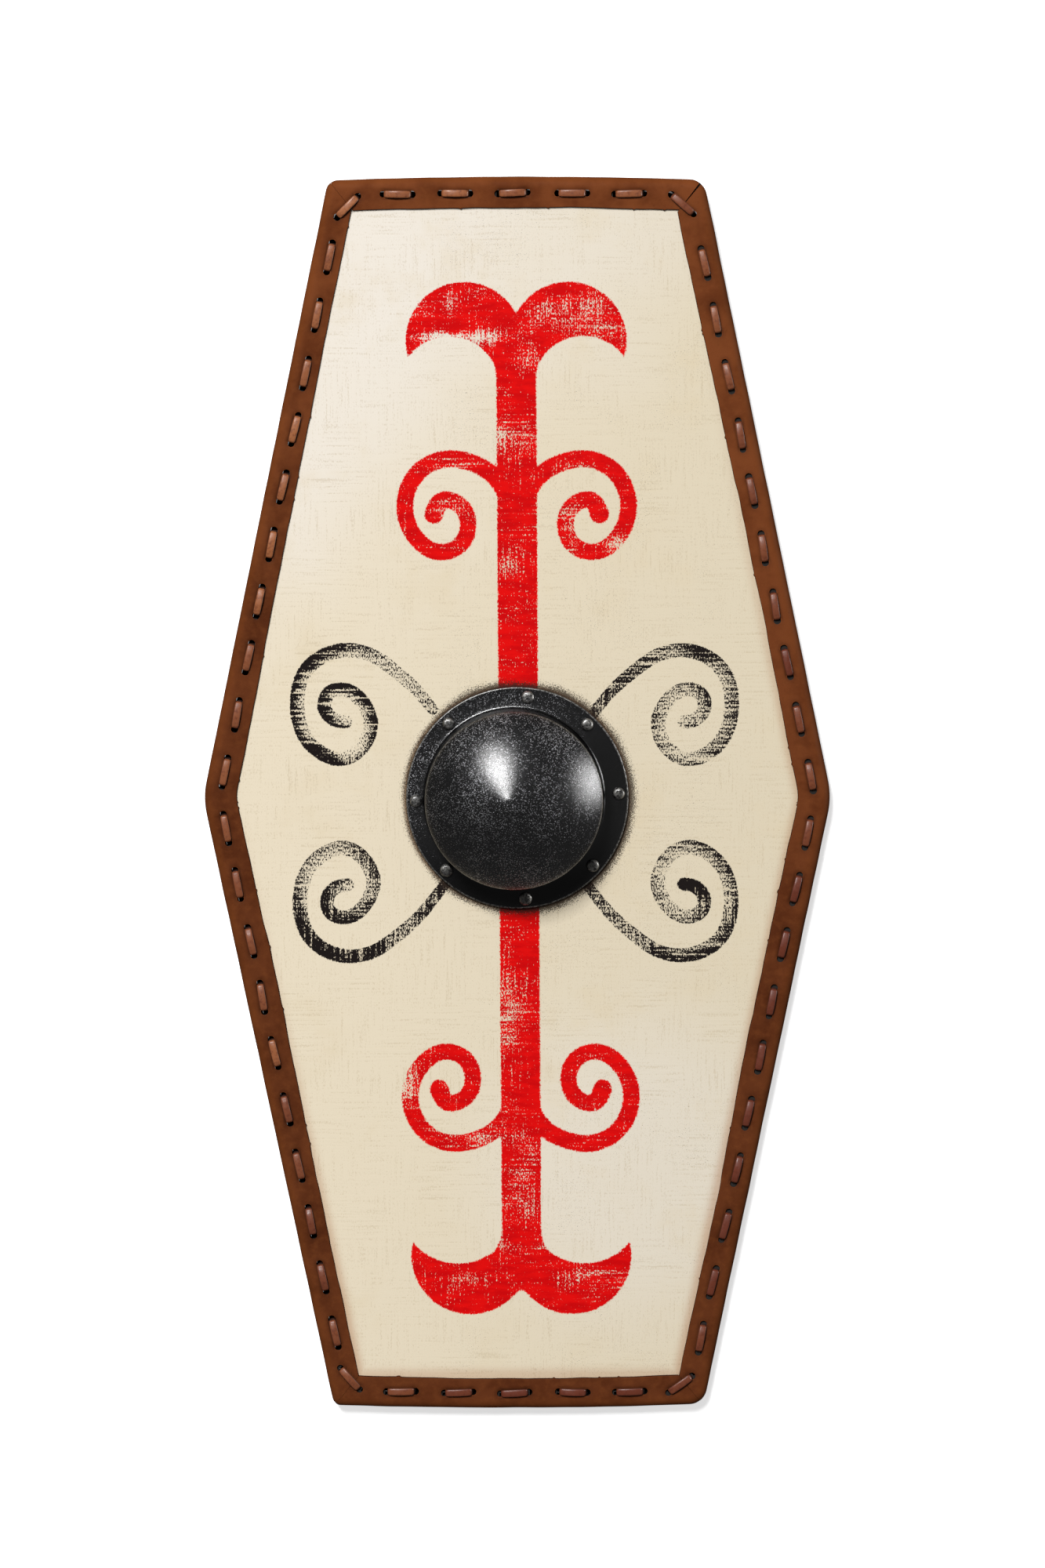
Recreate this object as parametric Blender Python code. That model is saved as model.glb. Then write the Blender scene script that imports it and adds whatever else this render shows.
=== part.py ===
"""A long six-sided shield, lying face up.

+Z points out of the painted face, +Y to the shield's top and +X to its right seen from the front.
The origin is on the ground, below the middle of the boss flange. All sizes are in metres.
"""

import math

import bmesh
import bpy
from mathutils import Vector

# Outline of the whole shield, over the leather rim, with both widths taken between sharp corners
HEIGHT = 1.100
MIDDLE_WIDTH = 0.5598
END_WIDTH = 0.332
END_BOW = 0.0027
MIDDLE_CORNER_RADIUS = 0.068
END_CORNER_RADIUS = 0.008

# Board
BOARD_THICKNESS = 0.018
HAND_HOLE_LIP = 0.010

# Leather strips of the rim
LEATHER_THICKNESS = 0.002
FRONT_FOLD_WIDTH = 0.0285
ROLL_RADIUS = 0.008
MITRE_GAP = 0.0006

# Lacing
STITCH_LENGTH = 0.027
STITCH_PITCH = 0.0515
STITCH_INSET = 0.0147
LAST_STITCH_MARGIN = 0.054
STITCH_RISE = 0.0009
LACE_WIDTH = 0.0062
LACE_THINNER_THAN_STRIP = 0.0002
LACE_SIDE_CLEARANCE = 0.0006
LACE_END_CLEARANCE = 0.0008
LACE_TO_BACK_FOLD = 0.0006
LACE_TAIL = 0.008
CORNER_TURN = math.radians(20)

# Boss
NECK_FOOT_DIAMETER = 0.160
NECK_TAPER = 0.00125
NECK_HEIGHT = 0.035
NECK_FOOT_FILLET = 0.001
FLANGE_WIDTH = 0.019
FLANGE_THICKNESS = 0.0035
FLANGE_EDGE_BEVEL = 0.0018
CAP_RISE = 0.038
CAP_CONE_SHARE = 0.55
CAP_TIP_BLUNTING = 0.0015
BOSS_WALL = 0.005
INNER_ARRIS_DROP = 0.0025
DOME_OFFSET = -0.003

# Rivets of the boss, at angles set by hand
RIVET_EDGE_DISTANCE = 0.0088
RIVET_ANGLES = (2.5, 46.5, 84, 132.5, 181.5, 225.5, 274.5, 318)
RIVET_HEAD_DIAMETER = 0.0112
RIVET_HEAD_HEIGHT = 0.004
RIVET_SHOULDER_SHARE = 0.72
RIVET_SHANK_DIAMETER = 0.0044
RIVET_HOLE_CLEARANCE = 0.0006

# Grip
GRIP_WIDTH = 0.026
GRIP_THICKNESS = 0.020
GRIP_EDGE = 0.0015
GRIP_ROUNDING = 0.006
GRIP_PROUD = 0.001
GRIP_END_CLEARANCE = 0.003
TONGUE_PAST_RIVET = 0.016
TONGUE_THICKNESS = 0.0087

# Air between neighbouring pieces
GAP = 0.0003

# Facets
ROUND_SIDES = 30
HAND_HOLE_SIDES = 32
RIVET_SIDES = 8
RIVET_HOLE_SIDES = 6
CAP_RINGS = (0.82, 0.62, 0.40, 0.17)
INNER_CAP_RINGS = (0.66, 0.30)
MERGE_DISTANCE = 1e-6

# Sizes that follow from those above
LACE_THICKNESS = LEATHER_THICKNESS - LACE_THINNER_THAN_STRIP
LACE_HOLE = LACE_WIDTH + 2 * LACE_SIDE_CLEARANCE
LACE_LEAN = (LACE_HOLE - LACE_THICKNESS) / 2 - LACE_END_CLEARANCE
BACK_FOLD_WIDTH = STITCH_INSET - LACE_WIDTH / 2 - LACE_TO_BACK_FOLD
FLANGE_RADIUS = NECK_FOOT_DIAMETER / 2 + FLANGE_WIDTH
RIVET_CIRCLE_RADIUS = FLANGE_RADIUS - RIVET_EDGE_DISTANCE
HAND_HOLE_RADIUS = NECK_FOOT_DIAMETER / 2 - HAND_HOLE_LIP
GRIP_HALF_LENGTH = RIVET_CIRCLE_RADIUS + TONGUE_PAST_RIVET

# Heights, from the ground up
BOARD_BACK = LEATHER_THICKNESS + GAP
BOARD_FRONT = BOARD_BACK + BOARD_THICKNESS
RIM_FRONT = BOARD_FRONT + GAP + LEATHER_THICKNESS
FLANGE_BACK = BOARD_FRONT + GAP
FLANGE_FRONT = FLANGE_BACK + FLANGE_THICKNESS
ARRIS_HEIGHT = FLANGE_FRONT + NECK_HEIGHT
CUT_MARGIN = 0.002

# The sides lean in from the middle corner to the end corners by this angle
END_CORNER_Y = HEIGHT / 2 - END_BOW
SIDE_LEAN = math.atan2((MIDDLE_WIDTH - END_WIDTH) / 2, END_CORNER_Y)
MITRE_ANGLE = (math.pi / 2 + SIDE_LEAN) / 2
MITRE_SHIFT = MITRE_GAP / 2 / math.sin(MITRE_ANGLE)
SIDE_DIRECTION = Vector((math.sin(SIDE_LEAN), -math.cos(SIDE_LEAN)))
END_DIRECTION = Vector((-1, 0))


def material(name, color, roughness, metallic=0.0):
    made = bpy.data.materials.new(name)
    made.use_nodes = True
    shader = made.node_tree.nodes["Principled BSDF"]
    shader.inputs["Base Color"].default_value = (*color, 1)
    shader.inputs["Roughness"].default_value = roughness
    shader.inputs["Metallic"].default_value = metallic
    return made


def finish_mesh(name, mesh):
    """Close the bmesh with its faces pointing out and link it as an object."""
    bmesh.ops.remove_doubles(mesh, verts=mesh.verts, dist=MERGE_DISTANCE)
    bmesh.ops.recalc_face_normals(mesh, faces=mesh.faces)
    data = bpy.data.meshes.new(name)
    mesh.to_mesh(data)
    mesh.free()
    made = bpy.data.objects.new(name, data)
    bpy.context.collection.objects.link(made)
    return made


def bridge(mesh, first, second):
    """Faces between two closed loops with as many points."""
    for i in range(len(first)):
        j = (i + 1) % len(first)
        mesh.faces.new((first[i], first[j], second[j], second[i]))


def loft(name, sections):
    """One body through a row of sections, each a closed loop of points."""
    mesh = bmesh.new()
    loops = [[mesh.verts.new(point) for point in section] for section in sections]
    for first, second in zip(loops, loops[1:]):
        bridge(mesh, first, second)
    mesh.faces.new(loops[0])
    mesh.faces.new(loops[-1])
    return finish_mesh(name, mesh)


def ring(radius, z, centre=(0, 0), sides=ROUND_SIDES):
    turns = [2 * math.pi * i / sides for i in range(sides)]
    return [(centre[0] + radius * math.cos(a), centre[1] + radius * math.sin(a), z) for a in turns]


def add_prism(mesh, corners, low, high):
    """A closed upright prism over a flat loop of (x, y) corners."""
    bottom = [mesh.verts.new((x, y, low)) for x, y in corners]
    top = [mesh.verts.new((x, y, high)) for x, y in corners]
    bridge(mesh, bottom, top)
    mesh.faces.new(bottom)
    mesh.faces.new(top)


def cutter(name, prisms):
    """One guide object that holds upright prisms, each (corners, low, high)."""
    mesh = bmesh.new()
    for corners, low, high in prisms:
        add_prism(mesh, corners, low, high)
    made = finish_mesh(name, mesh)
    made.hide_render = True
    made.display_type = "WIRE"
    return made


def cut(target, guide):
    modifier = target.modifiers.new(guide.name, "BOOLEAN")
    modifier.operation = "DIFFERENCE"
    modifier.solver = "EXACT"
    modifier.object = guide


def smooth(target, degrees):
    target.data.shade_smooth()
    target.data.set_sharp_from_angle(angle=math.radians(degrees))


def circle(centre, radius, sides):
    return [point[:2] for point in ring(radius, 0, centre, sides)]


# Outline in the quarter with x and y above zero. Inset is the distance in from the outer edge.


def end_corner(inset):
    """Sharp corner between the end edge and the side."""
    x = END_WIDTH / 2 - inset * (1 - math.sin(SIDE_LEAN)) / math.cos(SIDE_LEAN)
    return Vector((x, END_CORNER_Y - inset))


def middle_corner(inset):
    """Sharp corner between the two sides."""
    return Vector((MIDDLE_WIDTH / 2 - inset / math.cos(SIDE_LEAN), 0))


def on_end_corner(angle, inset):
    """Point of the rounded end corner whose outward direction has this angle."""
    centre = end_corner(max(inset, END_CORNER_RADIUS))
    radius = max(END_CORNER_RADIUS - inset, 0)
    return centre + radius * Vector((math.cos(angle), math.sin(angle)))


def on_middle_corner(angle, inset):
    centre = middle_corner(MIDDLE_CORNER_RADIUS)
    radius = MIDDLE_CORNER_RADIUS - inset
    return centre + radius * Vector((math.cos(angle), math.sin(angle)))


def on_end_edge(share, inset):
    """Point of the bowed end edge: share runs from -1 to 1 between the rounded corners."""
    start = on_end_corner(math.pi / 2, inset)
    return Vector((share * start.x, start.y + END_BOW * (1 - share**2)))


def shares(first, last, steps):
    return [first + (last - first) * i / steps for i in range(steps + 1)]


def mirrored(points, x=1, y=1):
    return [Vector((x * point.x, y * point.y)) for point in points]


def board_outline(inset):
    """Whole outline of the board, anticlockwise from the middle right."""
    side = [on_middle_corner(angle, inset) for angle in shares(0, SIDE_LEAN, 2)]
    corner = [on_end_corner(angle, inset) for angle in shares(SIDE_LEAN, math.pi / 2, 4)]
    end = [on_end_edge(share, inset) for share in (2 / 3, 1 / 3)]
    quarter = side + corner + end
    top_middle = [on_end_edge(0, inset)]
    left = mirrored(reversed(quarter), x=-1)
    upper = quarter + top_middle + left
    lower = mirrored(reversed(upper), y=-1)
    return upper + lower[1:-1]


# Stitches, anticlockwise from the bottom left: each is its middle and its direction


def end_stitches():
    """Stitches of the top edge, from right to left."""
    corner = end_corner(STITCH_INSET)
    count = max(round(2 * corner.x / STITCH_PITCH) - 1, 1)
    found = []
    for i in range(count):
        share = 1 - 2 * (i + 1) / (count + 1)
        middle = Vector((share * corner.x, corner.y + END_BOW * (1 - share**2)))
        slope = 2 * END_BOW * share / corner.x
        found.append((middle, Vector((-1, slope)).normalized()))
    return found


def corner_stitch():
    """Diagonal stitch across the top right mitre, from the side strip to the end strip."""
    corner = end_corner(STITCH_INSET)
    reach = STITCH_LENGTH / 2 / math.sin(MITRE_ANGLE)
    start = corner + reach * SIDE_DIRECTION
    finish = corner + reach * END_DIRECTION
    return (start + finish) / 2, (finish - start).normalized()


def side_stitches():
    """Stitches of the upper right side, from the middle corner up."""
    low = middle_corner(STITCH_INSET)
    stretch = end_corner(STITCH_INSET) - low
    room = stretch.length - LAST_STITCH_MARGIN
    count = max(round(room / STITCH_PITCH + 0.5), 1)
    pitch = room / (count - 0.5)
    direction = stretch.normalized()
    return [(low + direction * pitch * (i + 0.5), direction) for i in range(count)]


def flipped(stitches, x=1, y=1):
    """Stitches mirrored across one axis, in the order and direction of travel."""
    return [
        (Vector((x * middle.x, y * middle.y)), Vector((-x * along.x, -y * along.y)))
        for middle, along in reversed(stitches)
    ]


def all_stitches():
    right = flipped(side_stitches(), y=-1) + side_stitches()
    top_right = corner_stitch()
    bottom_left = (-top_right[0], -top_right[1])
    return (
        flipped(end_stitches(), y=-1)
        + flipped([top_right], y=-1)
        + right
        + [top_right]
        + end_stitches()
        + flipped([top_right], x=-1)
        + flipped(right, x=-1)
        + [bottom_left]
    )


def holes_of(stitch):
    middle, along = stitch
    return middle - along * STITCH_LENGTH / 2, middle + along * STITCH_LENGTH / 2


def hole_square(centre, along):
    half = LACE_HOLE / 2
    across = Vector((-along.y, along.x))
    signs = ((-1, -1), (1, -1), (1, 1), (-1, 1))
    return [centre + half * (a * along + b * across) for a, b in signs]


def lacing_prisms(low, high):
    return [
        (hole_square(hole, stitch[1]), low, high)
        for stitch in all_stitches()
        for hole in holes_of(stitch)
    ]


def rivet_places():
    turns = [math.radians(angle) for angle in RIVET_ANGLES]
    return [(RIVET_CIRCLE_RADIUS * math.cos(a), RIVET_CIRCLE_RADIUS * math.sin(a)) for a in turns]


def rivet_prisms(low, high):
    radius = RIVET_SHANK_DIAMETER / 2 + RIVET_HOLE_CLEARANCE
    return [(circle(place, radius, RIVET_HOLE_SIDES), low, high) for place in rivet_places()]


# Pieces


def build_board(paint):
    bevel = ROLL_RADIUS - LEATHER_THICKNESS - GAP
    edge = LEATHER_THICKNESS + GAP
    levels = (
        (edge + bevel, BOARD_BACK),
        (edge, BOARD_BACK + bevel),
        (edge, BOARD_FRONT - bevel),
        (edge + bevel, BOARD_FRONT),
    )
    sections = [[(*point, z) for point in board_outline(inset)] for inset, z in levels]
    board = loft("board", sections)
    low = BOARD_BACK - CUT_MARGIN
    high = BOARD_FRONT + CUT_MARGIN
    prisms = lacing_prisms(low, high)
    prisms += rivet_prisms(low, high)
    prisms.append((circle((0, 0), HAND_HOLE_RADIUS, HAND_HOLE_SIDES), low, high))
    cut(board, cutter("board_holes", prisms))
    half_length = GRIP_HALF_LENGTH + GAP
    half_width = GRIP_WIDTH / 2 + GAP
    housing = [
        (-half_length, -half_width),
        (half_length, -half_width),
        (half_length, half_width),
        (-half_length, half_width),
    ]
    housing_top = BOARD_BACK - GRIP_PROUD + TONGUE_THICKNESS + GAP
    cut(board, cutter("grip_housing", [(housing, low, housing_top)]))
    board.data.materials.append(paint)


def strip_section(place, shift=Vector((0, 0))):
    """Section of a folded strip, where place gives the point at each inset."""
    roll = ROLL_RADIUS
    bulge = roll * (1 - math.sqrt(0.5))
    skin = LEATHER_THICKNESS
    profile = (
        (FRONT_FOLD_WIDTH, RIM_FRONT),
        (roll, RIM_FRONT),
        (bulge, RIM_FRONT - bulge),
        (0, RIM_FRONT - roll),
        (0, roll),
        (bulge, bulge),
        (roll, 0),
        (BACK_FOLD_WIDTH, 0),
        (BACK_FOLD_WIDTH, skin),
        (roll, skin),
        (skin, roll),
        (skin, RIM_FRONT - roll),
        (roll, RIM_FRONT - skin),
        (FRONT_FOLD_WIDTH, RIM_FRONT - skin),
    )
    return [(*(place(inset) + shift), z) for inset, z in profile]


def side_strip_sections():
    """Sections of the right strip from the top mitre to the bottom one."""
    shift = MITRE_SHIFT * SIDE_DIRECTION
    upper = [
        strip_section(lambda inset, a=angle: on_end_corner(a, inset), shift)
        for angle in shares(MITRE_ANGLE, SIDE_LEAN, 2)
    ]
    upper += [
        strip_section(lambda inset, a=angle: on_middle_corner(a, inset))
        for angle in shares(SIDE_LEAN, 0, 2)
    ]
    lower = [[(x, -y, z) for x, y, z in section] for section in reversed(upper)]
    return upper + lower[1:]


def end_strip_sections():
    """Sections of the top strip from the right mitre to the left one."""
    shift = MITRE_SHIFT * END_DIRECTION
    right = [
        strip_section(lambda inset, a=angle: on_end_corner(a, inset), shift)
        for angle in shares(MITRE_ANGLE, math.pi / 2, 2)
    ]
    right += [
        strip_section(lambda inset, s=share: on_end_edge(s, inset)) for share in (2 / 3, 1 / 3)
    ]
    middle = [strip_section(lambda inset: on_end_edge(0, inset))]
    left = [[(-x, y, z) for x, y, z in section] for section in reversed(right)]
    return right + middle + left


def build_rim(leather, holes):
    side = side_strip_sections()
    end = end_strip_sections()
    strips = {
        "rim_right": side,
        "rim_left": [[(-x, y, z) for x, y, z in section] for section in side],
        "rim_top": end,
        "rim_bottom": [[(x, -y, z) for x, y, z in section] for section in end],
    }
    for name, sections in strips.items():
        strip = loft(name, sections)
        cut(strip, holes)
        strip.data.materials.append(leather)
        smooth(strip, 50)


def lace_ring(place, along, inner, outer):
    """Four points of the flat lace: inner and outer are (distance along, height)."""
    across = Vector((-along.y, along.x)) * LACE_WIDTH / 2
    points = []
    for (distance, z), side in ((inner, -1), (inner, 1), (outer, 1), (outer, -1)):
        points.append((*(place + along * distance + side * across), z))
    return points


def build_lace(leather):
    front = RIM_FRONT + GAP
    back = BOARD_BACK - GAP
    half = LACE_THICKNESS / 2
    stitches = all_stitches()
    holes = [holes_of(stitch) for stitch in stitches]
    rings = []
    for i, (middle, along) in enumerate(stitches):
        start, finish = holes[i]
        before = start - holes[i - 1][1]
        after = holes[(i + 1) % len(holes)][0] - finish
        if i == 0:
            rings.append(tail_ring(start, before, -LACE_TAIL, back))
        rings.append(back_ring(start, before, along, -1, back))
        rings.append(
            lace_ring(start, along, (LACE_LEAN + half, front),
                      (LACE_LEAN - half, front + LACE_THICKNESS))
        )
        rings.append(
            lace_ring(middle, along, (0, front + STITCH_RISE),
                      (0, front + STITCH_RISE + LACE_THICKNESS))
        )
        rings.append(
            lace_ring(finish, along, (-LACE_LEAN - half, front),
                      (-LACE_LEAN + half, front + LACE_THICKNESS))
        )
        rings.append(back_ring(finish, after, along, 1, back))
        if i == len(stitches) - 1:
            rings.append(tail_ring(finish, after, LACE_TAIL, back))
    lace = loft("lace", rings)
    lace.data.materials.append(leather)
    smooth(lace, 30)


def back_ring(hole, run, along, sign, back):
    """Bend of the lace on the back: sign is -1 where it comes to the hole and 1 where it leaves."""
    run = run.normalized()
    turn = abs(run.angle(along))
    lean = LACE_LEAN if turn < CORNER_TURN else 0
    half = LACE_THICKNESS / 2
    lower = (sign * (lean - half), back - LACE_THICKNESS)
    upper = (sign * (lean + half), back)
    return lace_ring(hole, run, lower, upper)


def tail_ring(hole, run, distance, back):
    return lace_ring(hole, run.normalized(), (distance, back - LACE_THICKNESS), (distance, back))


def cap_height(share, rise):
    """Height of the cap over its edge, at a share of its radius from the middle."""
    return rise * (1 - CAP_CONE_SHARE * share - (1 - CAP_CONE_SHARE) * share**3)


def build_boss(iron):
    dome = (DOME_OFFSET, 0)
    neck = NECK_FOOT_DIAMETER / 2
    arris = neck - NECK_TAPER
    inner_arris = arris - BOSS_WALL
    inner_height = ARRIS_HEIGHT - INNER_ARRIS_DROP
    tip = CAP_RISE - CAP_TIP_BLUNTING
    rings = [ring(inner_arris * s, inner_height + cap_height(s, CAP_RISE), dome)
             for s in reversed(INNER_CAP_RINGS)]
    rings.append(ring(inner_arris, inner_height, dome))
    rings.append(ring(neck - BOSS_WALL, FLANGE_BACK, dome))
    rings.append(ring(FLANGE_RADIUS, FLANGE_BACK))
    rings.append(ring(FLANGE_RADIUS, FLANGE_FRONT - FLANGE_EDGE_BEVEL))
    rings.append(ring(FLANGE_RADIUS - FLANGE_EDGE_BEVEL, FLANGE_FRONT))
    rings.append(ring(neck + NECK_FOOT_FILLET, FLANGE_FRONT, dome))
    rings.append(ring(neck, FLANGE_FRONT + NECK_FOOT_FILLET, dome))
    rings.append(ring(arris, ARRIS_HEIGHT, dome))
    rings += [ring(arris * s, ARRIS_HEIGHT + cap_height(s, CAP_RISE), dome) for s in CAP_RINGS]
    mesh = bmesh.new()
    loops = [[mesh.verts.new(point) for point in points] for points in rings]
    for first, second in zip(loops, loops[1:]):
        bridge(mesh, first, second)
    for loop, z in ((loops[0], inner_height + tip), (loops[-1], ARRIS_HEIGHT + tip)):
        apex = mesh.verts.new((*dome, z))
        for i in range(len(loop)):
            mesh.faces.new((loop[i], loop[(i + 1) % len(loop)], apex))
    boss = finish_mesh("boss", mesh)
    holes = rivet_prisms(FLANGE_BACK - CUT_MARGIN, FLANGE_FRONT + CUT_MARGIN)
    cut(boss, cutter("boss_holes", holes))
    boss.data.materials.append(iron)
    smooth(boss, 35)


def under_grip(place):
    """Whether a rivet comes out through the grip's tongue."""
    reach = RIVET_SHANK_DIAMETER / 2 + RIVET_HOLE_CLEARANCE
    return abs(place[1]) < GRIP_WIDTH / 2 + reach and abs(place[0]) < GRIP_HALF_LENGTH + reach


def build_rivets(iron):
    seat = FLANGE_FRONT + GAP
    head = RIVET_HEAD_DIAMETER / 2
    shank = RIVET_SHANK_DIAMETER / 2
    for number, place in enumerate(rivet_places(), 1):
        mesh = bmesh.new()
        foot = BOARD_BACK - GRIP_PROUD if under_grip(place) else BOARD_BACK
        levels = (
            (shank, foot + GAP),
            (shank, seat),
            (head, seat),
            (head * RIVET_SHOULDER_SHARE, seat + RIVET_HEAD_HEIGHT * RIVET_SHOULDER_SHARE),
        )
        loops = [
            [mesh.verts.new(point) for point in ring(radius, z, place, RIVET_SIDES)]
            for radius, z in levels
        ]
        for first, second in zip(loops, loops[1:]):
            bridge(mesh, first, second)
        mesh.faces.new(loops[0])
        apex = mesh.verts.new((*place, seat + RIVET_HEAD_HEIGHT))
        for i in range(RIVET_SIDES):
            mesh.faces.new((loops[-1][i], loops[-1][(i + 1) % RIVET_SIDES], apex))
        rivet = finish_mesh(f"rivet_{number}", mesh)
        rivet.data.materials.append(iron)
        smooth(rivet, 50)


def grip_section(x, thickness, rounding):
    """Section of the grip across X: a flat back, and front edges rounded off."""
    low = BOARD_BACK - GRIP_PROUD
    high = low + thickness
    half = GRIP_WIDTH / 2
    profile = (
        (half - GRIP_EDGE, low),
        (half, low + GRIP_EDGE),
        (half, high - rounding),
        (half - rounding, high),
    )
    right = [(x, y, z) for y, z in profile]
    left = [(x, -y, z) for y, z in reversed(profile)]
    return right + left


def build_grip(wood):
    shoulder = HAND_HOLE_RADIUS - GRIP_END_CLEARANCE
    slope = GRIP_THICKNESS - TONGUE_THICKNESS
    right = [
        grip_section(shoulder - slope, GRIP_THICKNESS, GRIP_ROUNDING),
        grip_section(shoulder, TONGUE_THICKNESS, GRIP_EDGE),
        grip_section(GRIP_HALF_LENGTH, TONGUE_THICKNESS, GRIP_EDGE),
    ]
    left = [[(-x, y, z) for x, y, z in section] for section in reversed(right)]
    grip = loft("grip", left + right)
    cut(grip, cutter("grip_holes", rivet_prisms(0, RIM_FRONT)))
    grip.data.materials.append(wood)
    smooth(grip, 35)


def main():
    for old in list(bpy.data.objects):
        bpy.data.objects.remove(old)
    paint = material("painted_canvas", (0.80, 0.73, 0.60), 0.85)
    brown = material("brown_leather", (0.13, 0.042, 0.018), 0.5)
    lacing = material("lacing_leather", (0.12, 0.035, 0.02), 0.4)
    iron = material("black_iron", (0.02, 0.02, 0.021), 0.35, 0.6)
    wood = material("grip_wood", (0.25, 0.15, 0.08), 0.6)
    build_board(paint)
    flap_holes = lacing_prisms(BOARD_FRONT - CUT_MARGIN, RIM_FRONT + CUT_MARGIN)
    build_rim(brown, cutter("flap_holes", flap_holes))
    build_lace(lacing)
    build_boss(iron)
    build_rivets(iron)
    build_grip(wood)


main()
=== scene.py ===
"""Looks of a long six-sided shield that lies face up on a pale floor.

+Z points out of the painted face, +Y to the shield's top and +X to its right. Sizes are in metres,
except in the painted design, which is laid out in millimetres from the middle of the boss.
"""

import math
import random

import bmesh
import bpy
import numpy as np
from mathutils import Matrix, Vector, noise


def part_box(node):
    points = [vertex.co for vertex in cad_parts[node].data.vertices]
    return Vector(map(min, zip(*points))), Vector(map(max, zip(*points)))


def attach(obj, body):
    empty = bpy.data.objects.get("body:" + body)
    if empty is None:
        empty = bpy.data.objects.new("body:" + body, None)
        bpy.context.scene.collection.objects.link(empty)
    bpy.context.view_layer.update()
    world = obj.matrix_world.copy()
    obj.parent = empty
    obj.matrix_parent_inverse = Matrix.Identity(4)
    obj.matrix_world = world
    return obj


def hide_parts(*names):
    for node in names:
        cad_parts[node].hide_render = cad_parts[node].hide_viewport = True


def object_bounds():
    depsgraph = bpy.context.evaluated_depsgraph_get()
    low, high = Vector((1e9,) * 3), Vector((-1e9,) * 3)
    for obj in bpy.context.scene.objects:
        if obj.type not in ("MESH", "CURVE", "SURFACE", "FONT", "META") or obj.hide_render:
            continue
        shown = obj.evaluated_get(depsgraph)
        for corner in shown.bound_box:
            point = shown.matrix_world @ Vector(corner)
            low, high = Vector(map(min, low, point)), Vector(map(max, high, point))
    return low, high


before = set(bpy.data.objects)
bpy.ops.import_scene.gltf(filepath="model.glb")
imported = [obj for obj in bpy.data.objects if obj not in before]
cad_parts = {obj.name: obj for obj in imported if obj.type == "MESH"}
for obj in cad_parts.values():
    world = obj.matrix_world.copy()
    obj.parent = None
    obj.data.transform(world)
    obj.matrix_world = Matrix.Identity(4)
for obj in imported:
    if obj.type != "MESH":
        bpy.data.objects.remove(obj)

CAD_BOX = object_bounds()
MM = 0.001

# Outline over the leather rim, with both widths taken between sharp corners
HEIGHT = CAD_BOX[1].y - CAD_BOX[0].y
MIDDLE_WIDTH = 0.5598
END_WIDTH = 0.332
END_BOW = 0.0027
MIDDLE_CORNER_RADIUS = 0.068
END_CORNER_RADII = {(1, 1): 0.014, (-1, 1): 0.011, (1, -1): 0.016, (-1, -1): 0.008}
END_CORNER_Y = HEIGHT / 2 - END_BOW
SIDE_LEAN = math.atan2((MIDDLE_WIDTH - END_WIDTH) / 2, END_CORNER_Y)
MITRE_ANGLE = (math.pi / 2 + SIDE_LEAN) / 2
SIDE_DIRECTION = Vector((math.sin(SIDE_LEAN), -math.cos(SIDE_LEAN)))
END_DIRECTION = Vector((-1, 0))

# Heights read from the frame
GAP = 0.0003
BOARD_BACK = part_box("board")[0].z
BOARD_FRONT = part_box("board")[1].z
RIM_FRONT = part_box("rim_left")[1].z
LEATHER_THICKNESS = RIM_FRONT - BOARD_FRONT - GAP
FLANGE_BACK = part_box("boss")[0].z
BOSS_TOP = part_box("boss")[1].z

# Leather strips
FRONT_FOLD_WIDTH = 0.0285
BACK_FOLD_WIDTH = 0.011
ROLL_RADIUS = 0.008
MITRE_GAP = 0.0002
OPEN_MITRE_GAP = 0.0008
EDGE_WAVE = 0.0005
EDGE_DRIFT = {
    "left": ((0, -0.0029), (0.3, -0.002), (0.5, 0.0008), (0.67, 0.0018), (0.83, -0.0003), (1, -0.0008)),
    "right": ((0, 0.001), (0.15, -0.0005), (0.3, -0.0017), (0.55, 0.0007), (0.67, 0.0012), (0.83, -0.0016),
              (1, -0.001)),
    "top": ((0, -0.0012), (1, -0.0012)),
    "bottom": ((0, -0.0007), (1, -0.0007)),
}
ROLL_WAVE = 0.0003
CUT_ROUNDING = 0.0007
CUT_CHAMFER = 0.0002
GROOVE_DEPTH = 0.00022
SWELL_HEIGHT = 0.0002
DIP_DEPTH = 0.0004
LIP_HEIGHT = 0.00022
FOLD_REST = 0.001
NIB_LENGTH = 0.0008
NIB_SPACING = 0.085
NIB_MARGIN = 0.02
STRIP_STEP = 0.0018
CORNER_STATIONS = 6
RIM_SEED = 11

# Lacing
STITCH_LENGTH = 0.027
STITCH_PITCH = 0.0515
STITCH_INSET = 0.0147
LAST_STITCH_MARGIN = 0.054
STITCH_SLIDES = {"bottom": -0.0031, "right": -0.0062, "top": 0.0023, "left": 0.0012}
CORNER_STITCH_CHANGES = {
    (1, -1): (-2, -0.0026, -0.0036),
    (1, 1): (-4, -0.0004, 0.0015),
    (-1, 1): (8, -0.0017, 0),
    (-1, -1): (-10, -0.0040, 0.0023),
}
LACE_WIDTH = 0.0066
LACE_THICKNESS = LEATHER_THICKNESS - 0.0002
LACE_FRONT = RIM_FRONT + GAP + LACE_THICKNESS / 2
LACE_BACK = BOARD_BACK - GAP - LACE_THICKNESS / 2
LACE_FOOT = 0.0110
HOLE_PLACE = 0.0129
BOARD_HOLE_PLACE = STITCH_LENGTH / 2
LACE_BEND = 0.0016
LACE_TAIL = 0.008
LACING_SEED = 5
HOLE_RADIUS = 0.0031
HOLE_SIDES = 16

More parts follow.
